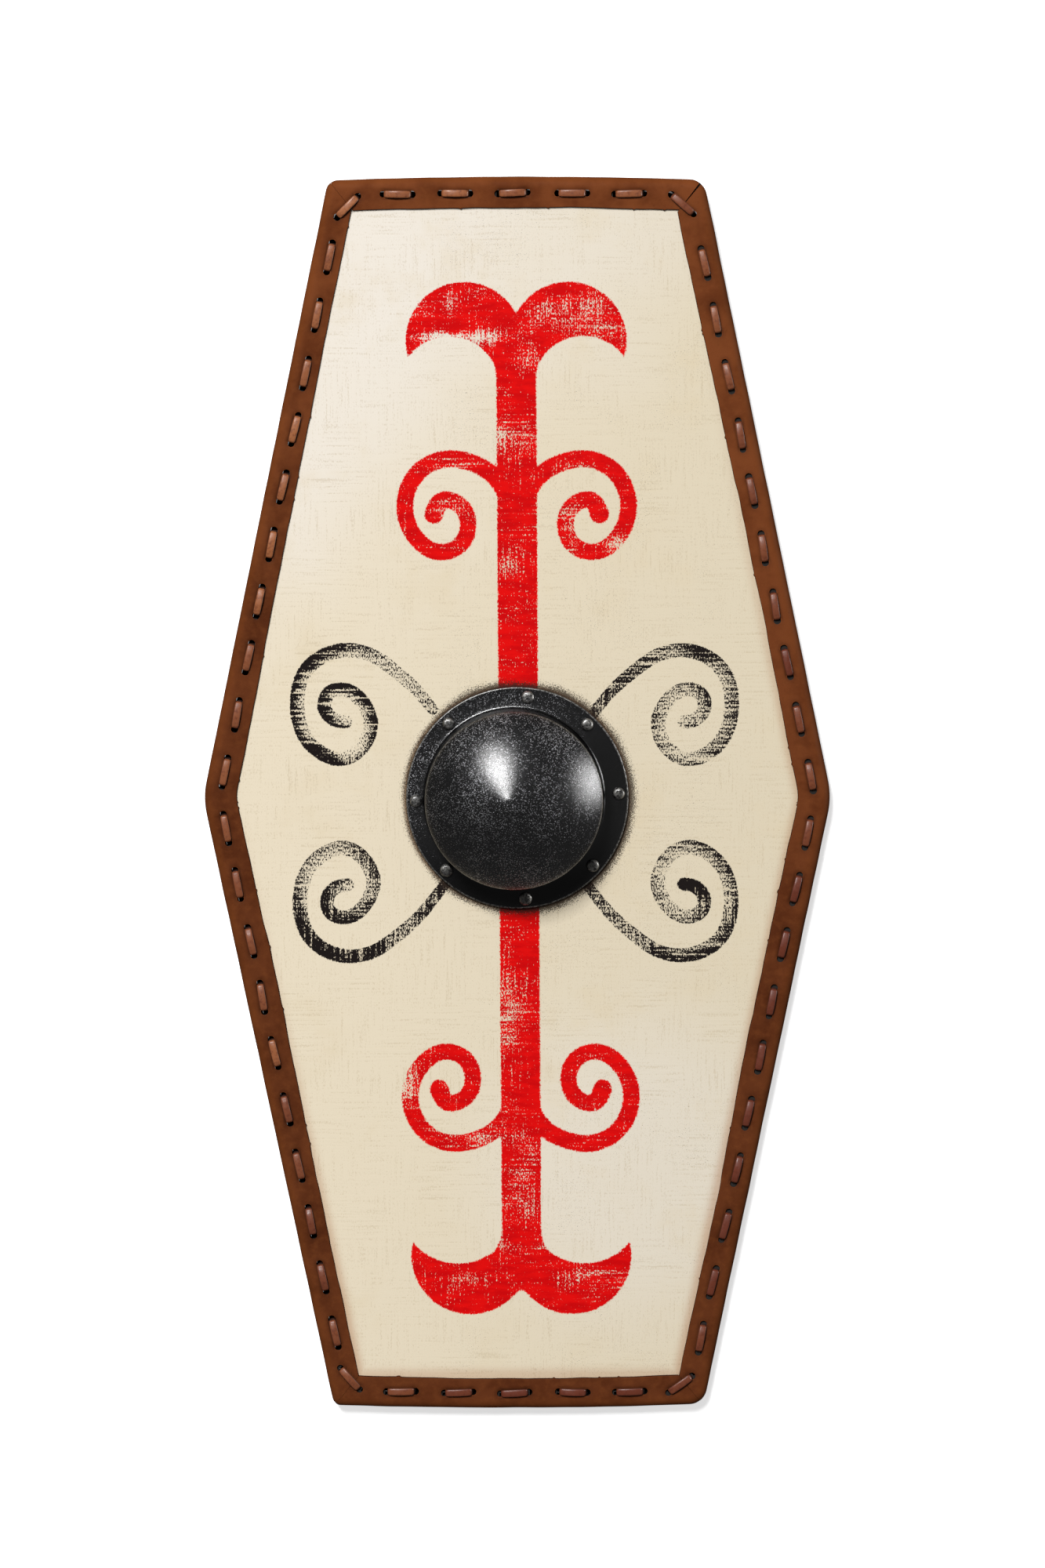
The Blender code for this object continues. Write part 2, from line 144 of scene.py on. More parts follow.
# Boss
FLANGE_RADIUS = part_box("boss")[1].x
FLANGE_THICKNESS = 0.0035
NECK_RADIUS = 0.080
NECK_TAPER = 0.00125
NECK_HEIGHT = 0.035
CAP_CONE_SHARE = 0.55
BOSS_WALL = 0.005
DOME_OFFSET = -0.003
TIP_LEAN = -0.004
ARRIS_HEIGHT = FLANGE_BACK + FLANGE_THICKNESS + NECK_HEIGHT
CAP_RISE = BOSS_TOP - ARRIS_HEIGHT + 0.0015
RIVET_CIRCLE_RADIUS = FLANGE_RADIUS - 0.0088
RIVET_ANGLES = (2.5, 46.5, 84, 132.5, 181.5, 225.5, 274.5, 318)
RIVET_HEAD_RADIUS = 0.0059
RIVET_HEAD_HEIGHT = 0.004
RIVET_SHANK_RADIUS = 0.0022
RIVET_SEAT_GAP = 0.0001
RIVET_SEED = 3
RIVET_HOLE_RADIUS = 0.0028
TURNED_SIDES = 160
FLANGE_ROUNDING = 0.0011
FLANGE_BACK_CHAMFER = 0.0004
FLANGE_BORDER = 0.0035
FLANGE_DISH = 0.0001
NECK_FOOT = 0.0022
ARRIS_BEAD = 0.0006

# Grip
HAND_HOLE_RADIUS = 0.070
HANDLE_END = 0.053
TAPER_END = HAND_HOLE_RADIUS - 0.003
TONGUE_THICKNESS = 0.0087
HANDLE_ROUNDING = 0.0105
TONGUE_ROUNDING = 0.0016
GRIP_BACK_EDGE = 0.0012

# Painted design, in millimetres
BAR_HALF_WIDTH = 17.6
BAR_TOP = (-0.3, 422)
BAR_BOTTOM = (3, -420)
FLEURS = (
    {"axis": -0.1, "lobe": (46.0, 405.6, 51.7), "scoop": (59.5, 364.9, 44.5), "blend": 3},
    {"axis": 2.7, "lobe": (45.5, -411.4, 52.9), "scoop": (56.7, -366.4, 51.9), "blend": 9},
)
VOLUTE = ((4, 258), (12, 276), (22.5, 288.5), (37, 297), (57, 301.5), (79, 296), (94.5, 279),
          (99, 256), (91, 234), (69, 219), (50, 225.5), (43, 244), (51, 261), (66, 264.5),
          (73.5, 252))
VOLUTE_WIDTHS = ((0, 17), (0.12, 15.4), (0.7, 14.6), (0.93, 14.8), (1, 16.8))
VOLUTE_PLACES = (
    {"axis": 0.1, "flip": (1, 1), "rise": -0.4},
    {"axis": -0.1, "flip": (-1, 1), "rise": -0.3},
    {"axis": 2.2, "flip": (1, -1), "rise": 8.7},
    {"axis": 2.8, "flip": (-1, -1), "rise": 8.4},
)
SCROLL = ((70, 79.5), (84.6, 97), (105, 115), (127, 129), (146, 132.5), (166, 128), (183.5, 113),
          (190.5, 88), (184.5, 57), (168, 40), (149, 35.8), (131, 48.5), (125, 67), (131.5, 85),
          (149, 97.6), (163, 93.5), (166, 80), (156.5, 70), (147.5, 68.5))
SCROLL_ROOT = (54, 58.5)
SCROLL_WIDTHS = ((0, 9.5), (0.12, 11), (0.3, 12.7), (0.9, 12.2), (1, 11.5))

# Each stroke's brush: share along it, how much paint it leaves and how level its streaks are
SCROLL_PLACES = (
    {"flip": (-1, 1), "shift": (-5, -0.6), "rooted": False, "lean": 0.3, "brush": (
        (0, 0.6, 0.5), (0.06, 0.42, 0.7), (0.18, 0.4, 0.8), (0.25, 0.55, 0.7), (0.31, 0.86, 0.9),
        (0.42, 0.62, 1), (0.54, 0.72, 1), (0.6, 0.92, 0.6), (0.64, 0.5, 0.1), (0.69, 0.32, 0.3),
        (0.75, 0.6, 1), (0.84, 0.62, 1), (0.9, 0.78, 1), (0.97, 0.72, 1), (1, 0.4, 1))},
    {"flip": (1, 1), "shift": (0.2, -1.4), "rooted": True, "lean": 0.12, "brush": (
        (0, 0.6, 0.1), (0.05, 0.72, 0.5), (0.16, 0.62, 1), (0.24, 0.56, 1), (0.3, 0.78, 0.6),
        (0.37, 0.5, 0.8), (0.46, 0.58, 1), (0.58, 0.54, 1), (0.66, 0.42, 0.9), (0.76, 0.5, 0.9),
        (0.83, 0.42, 0.7), (0.9, 0.56, 0.5), (0.95, 0.5, 0.6), (1, 0.4, 0.2))},
    {"flip": (-1, -1), "shift": (-3.4, -9), "rooted": True, "lean": 0.12, "brush": (
        (0, 0.72, 0.5), (0.08, 0.56, 0.4), (0.15, 0.62, 0.1), (0.21, 0.84, 0.1), (0.34, 0.82, 0),
        (0.42, 0.74, 0.2), (0.48, 0.56, 0.8), (0.56, 0.44, 1), (0.63, 0.48, 1), (0.7, 0.6, 0.2),
        (0.78, 0.56, 0.6), (0.82, 0.56, 1), (0.88, 0.8, 0.3), (0.94, 0.72, 0.5), (1, 0.46, 0.8))},
    {"flip": (1, -1), "shift": (-0.1, -8.9), "rooted": True, "lean": 0.14, "brush": (
        (0, 0.64, 0.5), (0.08, 0.56, 0.5), (0.17, 0.5, 0.4), (0.2, 0.84, 0.6), (0.27, 0.64, 1),
        (0.34, 0.6, 0.9), (0.41, 0.68, 0.1), (0.47, 0.54, 0.8), (0.54, 0.6, 0.7), (0.62, 0.5, 0.9),
        (0.72, 0.44, 1), (0.8, 0.42, 0.8), (0.87, 0.5, 0.5), (0.93, 0.68, 0.5), (0.97, 1.05, 0.2),
        (1, 1.05, 0.1))},
)
PALE_PATCH = (0.11, -0.33, 0)
RIM_DARKENING_REACH = 0.042
RED_COVER = 1.03

# Dry patches of the red paint: middle, reach and how dry
DRY_PATCHES = (
    ((-60, 441), (26, 9), 0.3), ((-66, 409), (30, 5), 0.75), ((-27, 408), (22, 9), 0.42),
    ((30, 428), (22, 16), 0.36), ((70, 430), (22, 24), 0.36), ((8, 388), (11, 12), 0.3),
    ((-13, 322), (9, 15), 0.42), ((9, 318), (14, 16), 0.3), ((-57, 293), (20, 7), 0.35),
    ((56, 292), (20, 6), 0.3), ((-60, 258), (20, 14), 0.35), ((48, 240), (12, 26), 0.35),
    ((90, 224), (12, 10), 0.6), ((-4, 212), (14, 20), 0.3), ((-10, -190), (14, 44), 0.45),
    ((-98, -256), (10, 16), 0.6), ((-28, -304), (26, 10), 0.45), ((6, -345), (18, 36), 0.35),
    ((-26, -402), (24, 5), 0.45), ((38, -404), (22, 4), 0.5), ((-46, -432), (26, 5), 0.3),
    ((60, -428), (20, 10), 0.3),
)
DISTANCE_LIMIT = 12
STROKE_MARGIN = 24
THREAD_PATCH = 45
FACE_INSET = 0.022
FACE_HOLE_RADIUS = 0.0955
FACE_THICKNESS = 0.0002
FACE_LIFT = 0.00025
FACE_COLUMNS = 200
FACE_ROWS = 420


def shade(red, green, blue):
    """Linear colour from screen values of 0 to 255."""
    def linear(value):
        value /= 255
        return value / 12.92 if value <= 0.04045 else ((value + 0.055) / 1.055) ** 2.4
    return tuple(linear(value) for value in (red, green, blue)) + (1,)


class Look:
    """A material under construction: adds nodes and links them."""

    def __init__(self, name, **settings):
        self.material = bpy.data.materials.new(name)
        self.material.use_nodes = True
        self.tree = self.material.node_tree
        self.shader = self.tree.nodes["Principled BSDF"]
        self.position = self.node("ShaderNodeTexCoord").outputs["Object"]
        self.set(**settings)

    def set(self, **settings):
        for name, value in settings.items():
            self.plug(self.shader.inputs[name.replace("_", " ")], value)

    def plug(self, socket, value):
        if isinstance(value, bpy.types.NodeSocket):
            self.tree.links.new(value, socket)
        else:
            socket.default_value = value

    def node(self, kind, inputs=None, **settings):
        made = self.tree.nodes.new(kind)
        for name, value in settings.items():
            setattr(made, name, value)
        for key, value in (inputs or {}).items():
            self.plug(made.inputs[key], value)
        return made

    def math(self, operation, first, second=0.0, third=0.0):
        inputs = {0: first, 1: second, 2: third}
        return self.node("ShaderNodeMath", inputs, operation=operation).outputs[0]

    def plus(self, first, second):
        return self.math("ADD", first, second)

    def minus(self, first, second):
        return self.math("SUBTRACT", first, second)

    def times(self, first, second):
        return self.math("MULTIPLY", first, second)

    def axes(self, kind="Object"):
        """X, Y and Z of the position, or of the normal."""
        source = self.position if kind == "Object" else self.node("ShaderNodeTexCoord").outputs[kind]
        return self.node("ShaderNodeSeparateXYZ", {0: source}).outputs

    def stretched(self, x, y, z=1.0):
        """The position with each axis scaled by itself."""
        made = self.node("ShaderNodeVectorMath", {0: self.position, 1: (x, y, z)}, operation="MULTIPLY")
        return made.outputs[0]

    def noise(self, scale, detail=2.0, roughness=0.5, vector=None, warp=0.0):
        made = self.node("ShaderNodeTexNoise", {
            "Vector": vector or self.position, "Scale": scale, "Detail": detail,
            "Roughness": roughness, "Distortion": warp,
        })
        return made.outputs["Fac"]

    def cells(self, scale):
        inputs = {"Vector": self.position, "Scale": scale}
        return self.node("ShaderNodeTexVoronoi", inputs).outputs

    def step(self, value, low, high, first=0.0, last=1.0):
        """A smooth step from first to last while the value goes from low to high."""
        made = self.node("ShaderNodeMapRange", {
            "Value": value, "From Min": low, "From Max": high, "To Min": first, "To Max": last,
        }, interpolation_type="SMOOTHSTEP")
        return made.outputs["Result"]

    def mix(self, share, first, second, blend="MIX"):
        made = self.node("ShaderNodeMix", {0: share, 6: first, 7: second},
                         data_type="RGBA", blend_type=blend)
        return made.outputs[2]

    def blend(self, share, first, second):
        """A plain number between two others."""
        return self.node("ShaderNodeMix", {0: share, 2: first, 3: second}).outputs[0]

    def attribute(self, name):
        return self.node("ShaderNodeAttribute", attribute_name=name).outputs["Fac"]

    def bump(self, height, distance, strength=1.0, under=None):
        inputs = {"Height": height, "Distance": distance, "Strength": strength}
        if under is not None:
            inputs["Normal"] = under
        return self.node("ShaderNodeBump", inputs).outputs["Normal"]


# Materials


def canvas_threads(look, ridge_share):
    """Height of the canvas: level or upright ridges, as the thread turn says, over a fine weave."""
    level = look.noise(1, 2.5, 0.6, look.stretched(20, 430))
    upright = look.noise(1, 2.5, 0.6, look.stretched(520, 26))
    weave = look.noise(1, 1.5, 0.6, look.stretched(950, 460))
    ridges = look.blend(look.attribute("thread_turn"), upright, level)
    return look.blend(ridge_share, weave, ridges)


def brushed(look, threads, cover, softness=0.016):
    """How much paint the threads take where the brush covers a share of them."""
    spare = look.minus(0.5, cover)
    limit = look.math("MULTIPLY_ADD", spare, 0.24, 0.5)
    low = look.minus(limit, softness)
    high = look.plus(limit, softness)
    return look.step(threads, low, high)


def outward_places(look):
    """How far out a point lies: as the half width that it would give the middle, and along the length."""
    place = look.axes()
    lengthways = look.math("ABSOLUTE", place["Y"])
    sideways = look.math("ABSOLUTE", place["X"])
    return look.math("MULTIPLY_ADD", lengthways, math.tan(SIDE_LEAN), sideways), lengthways


def canvas_ground(look, threads):
    """Cream paint, whiter at the upper left (painted sheen) and bottom, darker to the right (painted shade),
    with stains, painted shade in the weave's grooves and darker along the rim.
    """
    place = look.axes()
    # Whiter towards the upper left: a painted sheen of the light; a pale patch lower down.
    slant = look.minus(place["X"], place["Y"])
    slant = look.plus(slant, look.times(look.noise(5, 3), 0.5))
    off = look.node("ShaderNodeVectorMath", {0: look.position, 1: PALE_PATCH}, operation="DISTANCE")
    paler = look.step(off.outputs["Value"], 0.06, 0.2, 0.6, 0)
    warm = look.minus(look.step(slant, -0.38, 0.06), paler)
    ground = look.mix(warm, shade(238, 230, 218), shade(232, 219, 194))
    # Darker towards the right: painted shade.
    shaded_rightwards = look.step(place["X"], -MIDDLE_WIDTH / 2, MIDDLE_WIDTH / 2)
    ground = look.mix(shaded_rightwards, ground, shade(243, 243, 241), "MULTIPLY")
    stain = look.step(look.noise(14, 5, 0.65), 0.5, 0.78, 0, 0.4)
    ground = look.mix(stain, ground, shade(220, 203, 170))
    # Darker in the grooves of the weave: painted shade.
    groove = look.step(threads, 0.48, 0.38, 0, 0.34)
    ground = look.mix(groove, ground, shade(190, 172, 140))

    # Darker along the rim, more towards the lower right.
    widest, lengthways = outward_places(look)
    side, end = MIDDLE_WIDTH / 2, END_CORNER_Y
    side_darkening = look.step(widest, side - RIM_DARKENING_REACH, side - FRONT_FOLD_WIDTH)
    end_darkening = look.step(lengthways, end - RIM_DARKENING_REACH, end - FRONT_FOLD_WIDTH, 0, 0.85)
    rim_darkening = look.math("POWER", look.math("MAXIMUM", side_darkening, end_darkening), 2)
    rim_darkening = look.times(rim_darkening, look.step(look.minus(place["X"], place["Y"]), -0.3, 0.35))
    return look.mix(rim_darkening, ground, shade(230, 212, 202), "MULTIPLY")


def painted_canvas():
    look = Look("painted_canvas", Roughness=0.65, Specular_IOR_Level=0.05)
    threads = canvas_threads(look, 0.7)
    fine_threads = canvas_threads(look, 0.45)
    color = canvas_ground(look, canvas_threads(look, 0.55))
    spread = look.minus(fine_threads, 0.5)

    ragged = look.times(spread, 6)
    red_inside = look.step(look.minus(look.attribute("red_distance"), ragged), 0.6, -0.6)
    uneven = look.step(look.noise(45, 3, 0.6), 0.34, 0.66, -0.12, 0.12)
    red_cover = look.plus(look.attribute("red_cover"), uneven)
    red_share = look.times(red_inside, brushed(look, fine_threads, red_cover, 0.035))
    deep = look.step(look.noise(1, 3, 0.6, look.stretched(40, 130)), 0.35, 0.65)
    red = look.mix(deep, shade(227, 9, 8), shade(203, 2, 6))
    color = look.mix(red_share, color, red)

    frayed = look.times(spread, 5)
    black_inside = look.step(look.minus(look.attribute("black_distance"), frayed), 0.4, -0.4)
    black_cover = look.attribute("black_cover")
    black_threads = canvas_threads(look, look.step(black_cover, 0.3, 0.75, 0.3, 0.62))
    softness = look.step(black_cover, 0.3, 0.8, 0.045, 0.02)
    black_share = look.times(black_inside, brushed(look, black_threads, black_cover, softness))
    color = look.mix(black_share, color, shade(28, 22, 21))

    flat = look.node("ShaderNodeVectorMath", {0: look.position, 1: (1, 1, 0)}, operation="MULTIPLY")
    reach = look.node("ShaderNodeVectorMath", {0: flat.outputs[0]}, operation="LENGTH").outputs["Value"]
    # A dark brown ring just outside the flange: airbrushed paint and a painted shadow of the flange's edge.
    glow = look.step(reach, FLANGE_RADIUS, FLANGE_RADIUS + 0.005, 0.9, 0)
    color = look.mix(glow, color, shade(128, 100, 74), "MULTIPLY")
    patchy = look.step(look.noise(20, 2), 0.35, 0.65, -0.2, 0.2)
    place = look.axes()
    scarce = look.step(place["X"], -0.105, -0.05, -0.45, 0.15)
    haze_cover = look.step(reach, FLANGE_RADIUS - 0.001, FLANGE_RADIUS + 0.013, 0.95, -0.6)
    haze_cover = look.plus(haze_cover, look.plus(patchy, scarce))
    haze = look.times(brushed(look, look.noise(1300, 2, 0.7), haze_cover, 0.04), 0.85)
    color = look.mix(haze, color, shade(44, 34, 28))

    look.set(Base_Color=color, Normal=look.bump(threads, 0.0003, 0.5))
    return look.material


def raw_canvas():
    """The unpainted back of the board, and its dark inside in the holes and the hand hole, made near black as
    painted shade.
    """
    look = Look("raw_canvas", Roughness=0.85)
    level = look.noise(1, 2, 0.5, look.stretched(90, 900, 1))
    upright = look.noise(1, 2, 0.5, look.stretched(900, 90, 1))
    weave = look.math("MAXIMUM", level, upright)
    cloth = look.mix(look.step(weave, 0.45, 0.7), shade(126, 106, 80), shade(176, 154, 120))
    stain = look.step(look.noise(9, 4, 0.6), 0.45, 0.75, 0, 0.4)
    cloth = look.mix(stain, cloth, shade(110, 90, 66))
    facing = look.axes("Normal")["Z"]
    wall = look.step(facing, -0.6, -0.2)
    # Near black on the front and walls, where the holes show: the board's dark inside with painted shade.
    dark_core_and_shade = look.mix(look.noise(400, 3), shade(16, 14, 12), shade(32, 28, 24))
    look.set(Base_Color=look.mix(wall, cloth, dark_core_and_shade), Normal=look.bump(weave, 0.0003, 0.6))
    return look.material


def brown_leather():
    look = Look("brown_leather", Specular_IOR_Level=0.03)
    place = look.axes()
    # Lighter at the top and upper right, darker elsewhere, as the light falls: painted light.
    slant = look.math("MULTIPLY_ADD", place["X"], 0.6, place["Y"])
    color = look.mix(look.step(slant, -0.15, 0.5), shade(97, 50, 25), shade(118, 63, 32))
    cloud = look.step(look.noise(22, 4, 0.6), 0.36, 0.66)
    color = look.mix(cloud, color, shade(208, 198, 190), "MULTIPLY")
    mottle = look.step(look.noise(130, 4, 0.6), 0.42, 0.72, 0, 0.35)
    color = look.mix(mottle, color, shade(118, 65, 32))
    # Lighter along the rolled edge: a painted highlight.
    color = look.mix(look.attribute("roll_highlight"), color, shade(128, 70, 33))
    scuff = look.step(look.noise(1, 4, 0.65, look.stretched(260, 260, 260), 0.6), 0.6, 0.78, 0, 0.4)
    color = look.mix(scuff, color, shade(72, 35, 17))
    # Darker beside the lace and round the holes: painted shadow.
    color = look.mix(look.attribute("groove"), color, shade(46, 22, 12))
    # Darker at the flap's cut edge: the cut leather's own colour and a painted contact shadow.
    color = look.mix(look.attribute("cut_edge_and_shadow"), color, shade(44, 22, 14))
    grain = look.times(look.cells(900)["Distance"], 0.4)
    grain = look.plus(grain, look.noise(420, 4, 0.65))
    rough = look.step(look.noise(70, 4, 0.6), 0.3, 0.7, 0.5, 0.66)
    look.set(Base_Color=color, Roughness=rough, Normal=look.bump(grain, 0.0003, 0.35))
    return look.material


def lacing_leather():
    look = Look("lacing_leather", Specular_IOR_Level=0.35)
    tone = look.attribute("stitch_tone")
    # The stitch tone is painted light: lighter towards the upper left.
    color = look.mix(tone, shade(104, 50, 33), shade(160, 98, 60))
    streak = look.step(look.noise(300, 4, 0.65), 0.45, 0.7, 0, 0.55)
    color = look.mix(streak, color, shade(86, 38, 25))
    # Darker at the lace's edges and where it sinks into the holes: painted shade.
    color = look.mix(look.attribute("lace_shade"), color, shade(46, 21, 15))
    grain = look.noise(700, 3, 0.6)
    rough = look.step(look.noise(220, 3), 0.3, 0.7, 0.3, 0.45)
    rough = look.blend(look.attribute("lace_shade"), rough, 0.85)
    look.set(Base_Color=color, Roughness=rough, Normal=look.bump(grain, 0.0002, 0.3))
    return look.material


def black_iron():
    """Black lacquer on iron with a fine silver grain, denser on the dome and where the light falls (painted
    light), lighter on the edges from rubbing and a painted highlight, and a painted shadow of the dome on the
    flange's lower right.
    """
    look = Look("black_iron", Metallic=1.0, Coat_Roughness=0.19, Coat_IOR=1.65,
                Specular_Tint=(0.2, 0.2, 0.2, 1))
    place = look.axes()
    dome = look.step(place["Z"], ARRIS_HEIGHT - 0.002, ARRIS_HEIGHT)
    slant = look.minus(place["Y"], place["X"])
    # More silver grain towards the upper left of the flange, where the light falls: painted light.
    flange_density = look.step(slant, -0.1, 0.1, -0.3, 0)
    random_share = look.node("ShaderNodeSeparateColor", {0: look.cells(1500)["Color"]}).outputs[0]
    patches = look.step(look.noise(20, 3, 0.6), 0.3, 0.7, -0.06, 0.14)
    # The dome's grain is denser at the top, where the light falls: painted light.
    dome_density = look.step(place["Y"], -0.04, 0.04, 0.05, 0.07)
    density = look.plus(patches, look.blend(dome, flange_density, dome_density))
    flake = look.step(look.plus(random_share, density), 0.86, 1.14)
    # Lighter on the edges and rivet heads: paint thinned by rubbing, and a painted highlight.
    rub_and_gleam = look.attribute("rubbed_and_gleam")
    rub_and_gleam = look.times(rub_and_gleam, look.step(look.noise(420, 4, 0.7), 0.34, 0.6))
    flange = look.minus(1, dome)
    # Blacker base on the flange's lower right: a painted shadow of the dome.
    dome_shadow = look.times(look.step(slant, 0.05, -0.06), flange)
    iron = look.mix(dome_shadow, shade(17, 17, 18), shade(5, 5, 5))
    color = look.mix(flake, iron, shade(150, 150, 153))
    color = look.mix(rub_and_gleam, color, shade(150, 148, 144))
    facing = look.axes("Normal")["Z"]
    lowest = look.times(look.step(place["Y"], -0.02, -0.08), flange)
    dull = look.minus(1, look.times(lowest, 0.6))
    look.set(Coat_Weight=look.times(look.step(facing, 0.1, 0.5, 0.25, 1), dull))
    dust = look.noise(1300, 2, 0.7)
    dents = look.bump(look.noise(24, 3, 0.5), 0.001, 0.12)
    rough = look.step(look.noise(60, 3), 0.3, 0.7, 0.4, 0.5)
    look.set(Base_Color=color, Roughness=rough, Normal=look.bump(dust, 0.0006, 0.6, dents),
             Coat_Normal=look.bump(dust, 0.0006, 0.25, dents))
    return look.material


def grip_wood():
    look = Look("grip_wood", Roughness=0.5)
    grain = look.noise(1, 5, 0.65, look.stretched(14, 260, 260), 1.2)
    color = look.mix(look.step(grain, 0.35, 0.65), shade(150, 108, 66), shade(104, 68, 38))
    pores = look.noise(1, 3, 0.6, look.stretched(60, 1300, 1300))
    color = look.mix(look.step(pores, 0.6, 0.72, 0, 0.7), color, shade(62, 38, 22))
    look.set(Base_Color=color, Normal=look.bump(pores, 0.0003, 0.5))
    return look.material


def pale_floor():
    """A white floor that glows a little, but not under the shield, where it would light the holes."""
    look = Look("pale_floor", Roughness=0.9, Specular_IOR_Level=0.1)
    widest, lengthways = outward_places(look)
    beside = look.step(widest, MIDDLE_WIDTH / 2 - 0.02, MIDDLE_WIDTH / 2)
    beyond = look.step(lengthways, HEIGHT / 2 - 0.02, HEIGHT / 2)
    glow = look.times(look.math("MAXIMUM", beside, beyond), 0.6)
    cloud = look.noise(3, 3)
    look.set(Base_Color=look.mix(cloud, shade(250, 250, 250), shade(246, 246, 246)),
             Emission_Color=(1, 1, 1, 1), Emission_Strength=glow)
    return look.material


LOOKS = {
    "painted_canvas": painted_canvas(),
    "brown_leather": brown_leather(),
    "lacing_leather": lacing_leather(),
    "black_iron": black_iron(),
    "grip_wood": grip_wood(),
}


# Meshes


def linked(name, data):
    """A new object of the scene with this data."""
    made = bpy.data.objects.new(name, data)
    bpy.context.scene.collection.objects.link(made)
    return made


def soften(data, degrees):
    """Shade a mesh smooth, apart from edges that turn by more than this."""
    data.shade_smooth()
    data.set_sharp_from_angle(angle=math.radians(degrees))


def new_object(name, mesh, slot, smooth=40):
    """Link a bmesh as one piece that rides on the shield, in the material of this slot."""
    bmesh.ops.remove_doubles(mesh, verts=mesh.verts, dist=1e-6)
    bmesh.ops.recalc_face_normals(mesh, faces=mesh.faces)
    if mesh.calc_volume(signed=True) < 0:
        bmesh.ops.reverse_faces(mesh, faces=mesh.faces)
    data = bpy.data.meshes.new(name)
    mesh.to_mesh(data)
    mesh.free()
    soften(data, smooth)
    made = linked(name, data)
    made.data.materials.append(LOOKS[slot])
    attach(made, "root")
    return made


def bridge(mesh, first, second):
    """Faces between two closed loops with as many points."""
    for i in range(len(first)):
        j = (i + 1) % len(first)
        mesh.faces.new((first[i], first[j], second[j], second[i]))


def lofted(sections, values=None):
    """A bmesh through a row of closed sections. Values are (attribute name, numbers per point)."""
    mesh = bmesh.new()
    layers = {name: mesh.verts.layers.float.new(name) for name in (values or {})}
    loops = []
    for i, section in enumerate(sections):
        loop = [mesh.verts.new(point) for point in section]
        for name, layer in layers.items():
            for vertex, value in zip(loop, values[name][i]):
                vertex[layer] = value
        loops.append(loop)
    for first, second in zip(loops, loops[1:]):
        bridge(mesh, first, second)
    mesh.faces.new(loops[0])
    mesh.faces.new(loops[-1])
    return mesh


def cut(target, guide_mesh, smooth):
    """Cut a closed guide out of a piece and keep the result, shaded smooth."""
    data = bpy.data.meshes.new("guide")
    bmesh.ops.recalc_face_normals(guide_mesh, faces=guide_mesh.faces)
    guide_mesh.to_mesh(data)
    guide_mesh.free()
    guide = linked("guide", data)
    modifier = target.modifiers.new("holes", "BOOLEAN")
    modifier.operation = "DIFFERENCE"
    modifier.solver = "EXACT"
    modifier.object = guide
    graph = bpy.context.evaluated_depsgraph_get()
    result = bpy.data.meshes.new_from_object(target.evaluated_get(graph))
    target.modifiers.clear()
    target.data = result
    bpy.data.objects.remove(guide)
    soften(target.data, smooth)


def add_prism(mesh, corners, low, high):
    bottom = [mesh.verts.new((x, y, low)) for x, y in corners]
    top = [mesh.verts.new((x, y, high)) for x, y in corners]
    bridge(mesh, bottom, top)
    mesh.faces.new(bottom)
    mesh.faces.new(top)


def circle(centre, radius, sides):
    turns = [2 * math.pi * i / sides for i in range(sides)]
    return [(centre[0] + radius * math.cos(a), centre[1] + radius * math.sin(a)) for a in turns]


def wave(value, length, seed):
    """Smooth noise between about -1 and 1 that changes over this length."""
    return noise.noise(Vector((value / length, seed * 7.3, seed * 1.7))) * 1.6


def bell(distance, width):
    """1 at no distance, falling off smoothly over this width."""
    return np.exp(-((distance / width) ** 2))


# Outline in the quarter with x and y above zero. Inset is the distance in from the outer edge.


def end_corner(inset):
    x = END_WIDTH / 2 - inset * (1 - math.sin(SIDE_LEAN)) / math.cos(SIDE_LEAN)
    return np.stack([x, END_CORNER_Y - inset], -1)


def middle_corner(inset):
    x = MIDDLE_WIDTH / 2 - inset / math.cos(SIDE_LEAN)
    return np.stack([x, np.zeros_like(x)], -1)


def heading(angle):
    return np.array([math.cos(angle), math.sin(angle)])


def on_end_corner(angle, inset, corner_radius):
    centre = end_corner(np.maximum(inset, corner_radius))
    radius = np.maximum(corner_radius - inset, 0)
    return centre + radius[..., None] * heading(angle)


def on_middle_corner(angle, inset, corner_radius=0):
    """A place on the middle corner, which is called as the others are but has one radius everywhere."""
    centre = middle_corner(np.full_like(inset, MIDDLE_CORNER_RADIUS))
    return centre + (MIDDLE_CORNER_RADIUS - inset)[..., None] * heading(angle)


def on_straight_side(share, inset, corner_radius):
    top = on_end_corner(SIDE_LEAN, inset, corner_radius)
    return (1 - share) * top + share * on_middle_corner(SIDE_LEAN, inset)


def on_end_edge(share, inset, corner_radius):
    start = on_end_corner(math.pi / 2, inset, corner_radius)
    return np.stack([share * start[..., 0], start[..., 1] + END_BOW * (1 - share**2)], -1)


# Stitches, anticlockwise from the bottom left: each is its middle and its direction


def end_stitches():
    corner = Vector(end_corner(np.array(STITCH_INSET)))
    count = round(2 * corner.x / STITCH_PITCH) - 1
    found = []
    for i in range(count):
        share = 1 - 2 * (i + 1) / (count + 1)
        middle = Vector((share * corner.x, corner.y + END_BOW * (1 - share**2)))
        slope = 2 * END_BOW * share / corner.x
        found.append((middle, Vector((-1, slope)).normalized()))
    return found


def corner_stitch():
    corner = Vector(end_corner(np.array(STITCH_INSET)))
    reach = STITCH_LENGTH / 2 / math.sin(MITRE_ANGLE)
    start = corner + reach * SIDE_DIRECTION
    finish = corner + reach * END_DIRECTION
    return (start + finish) / 2, (finish - start).normalized()


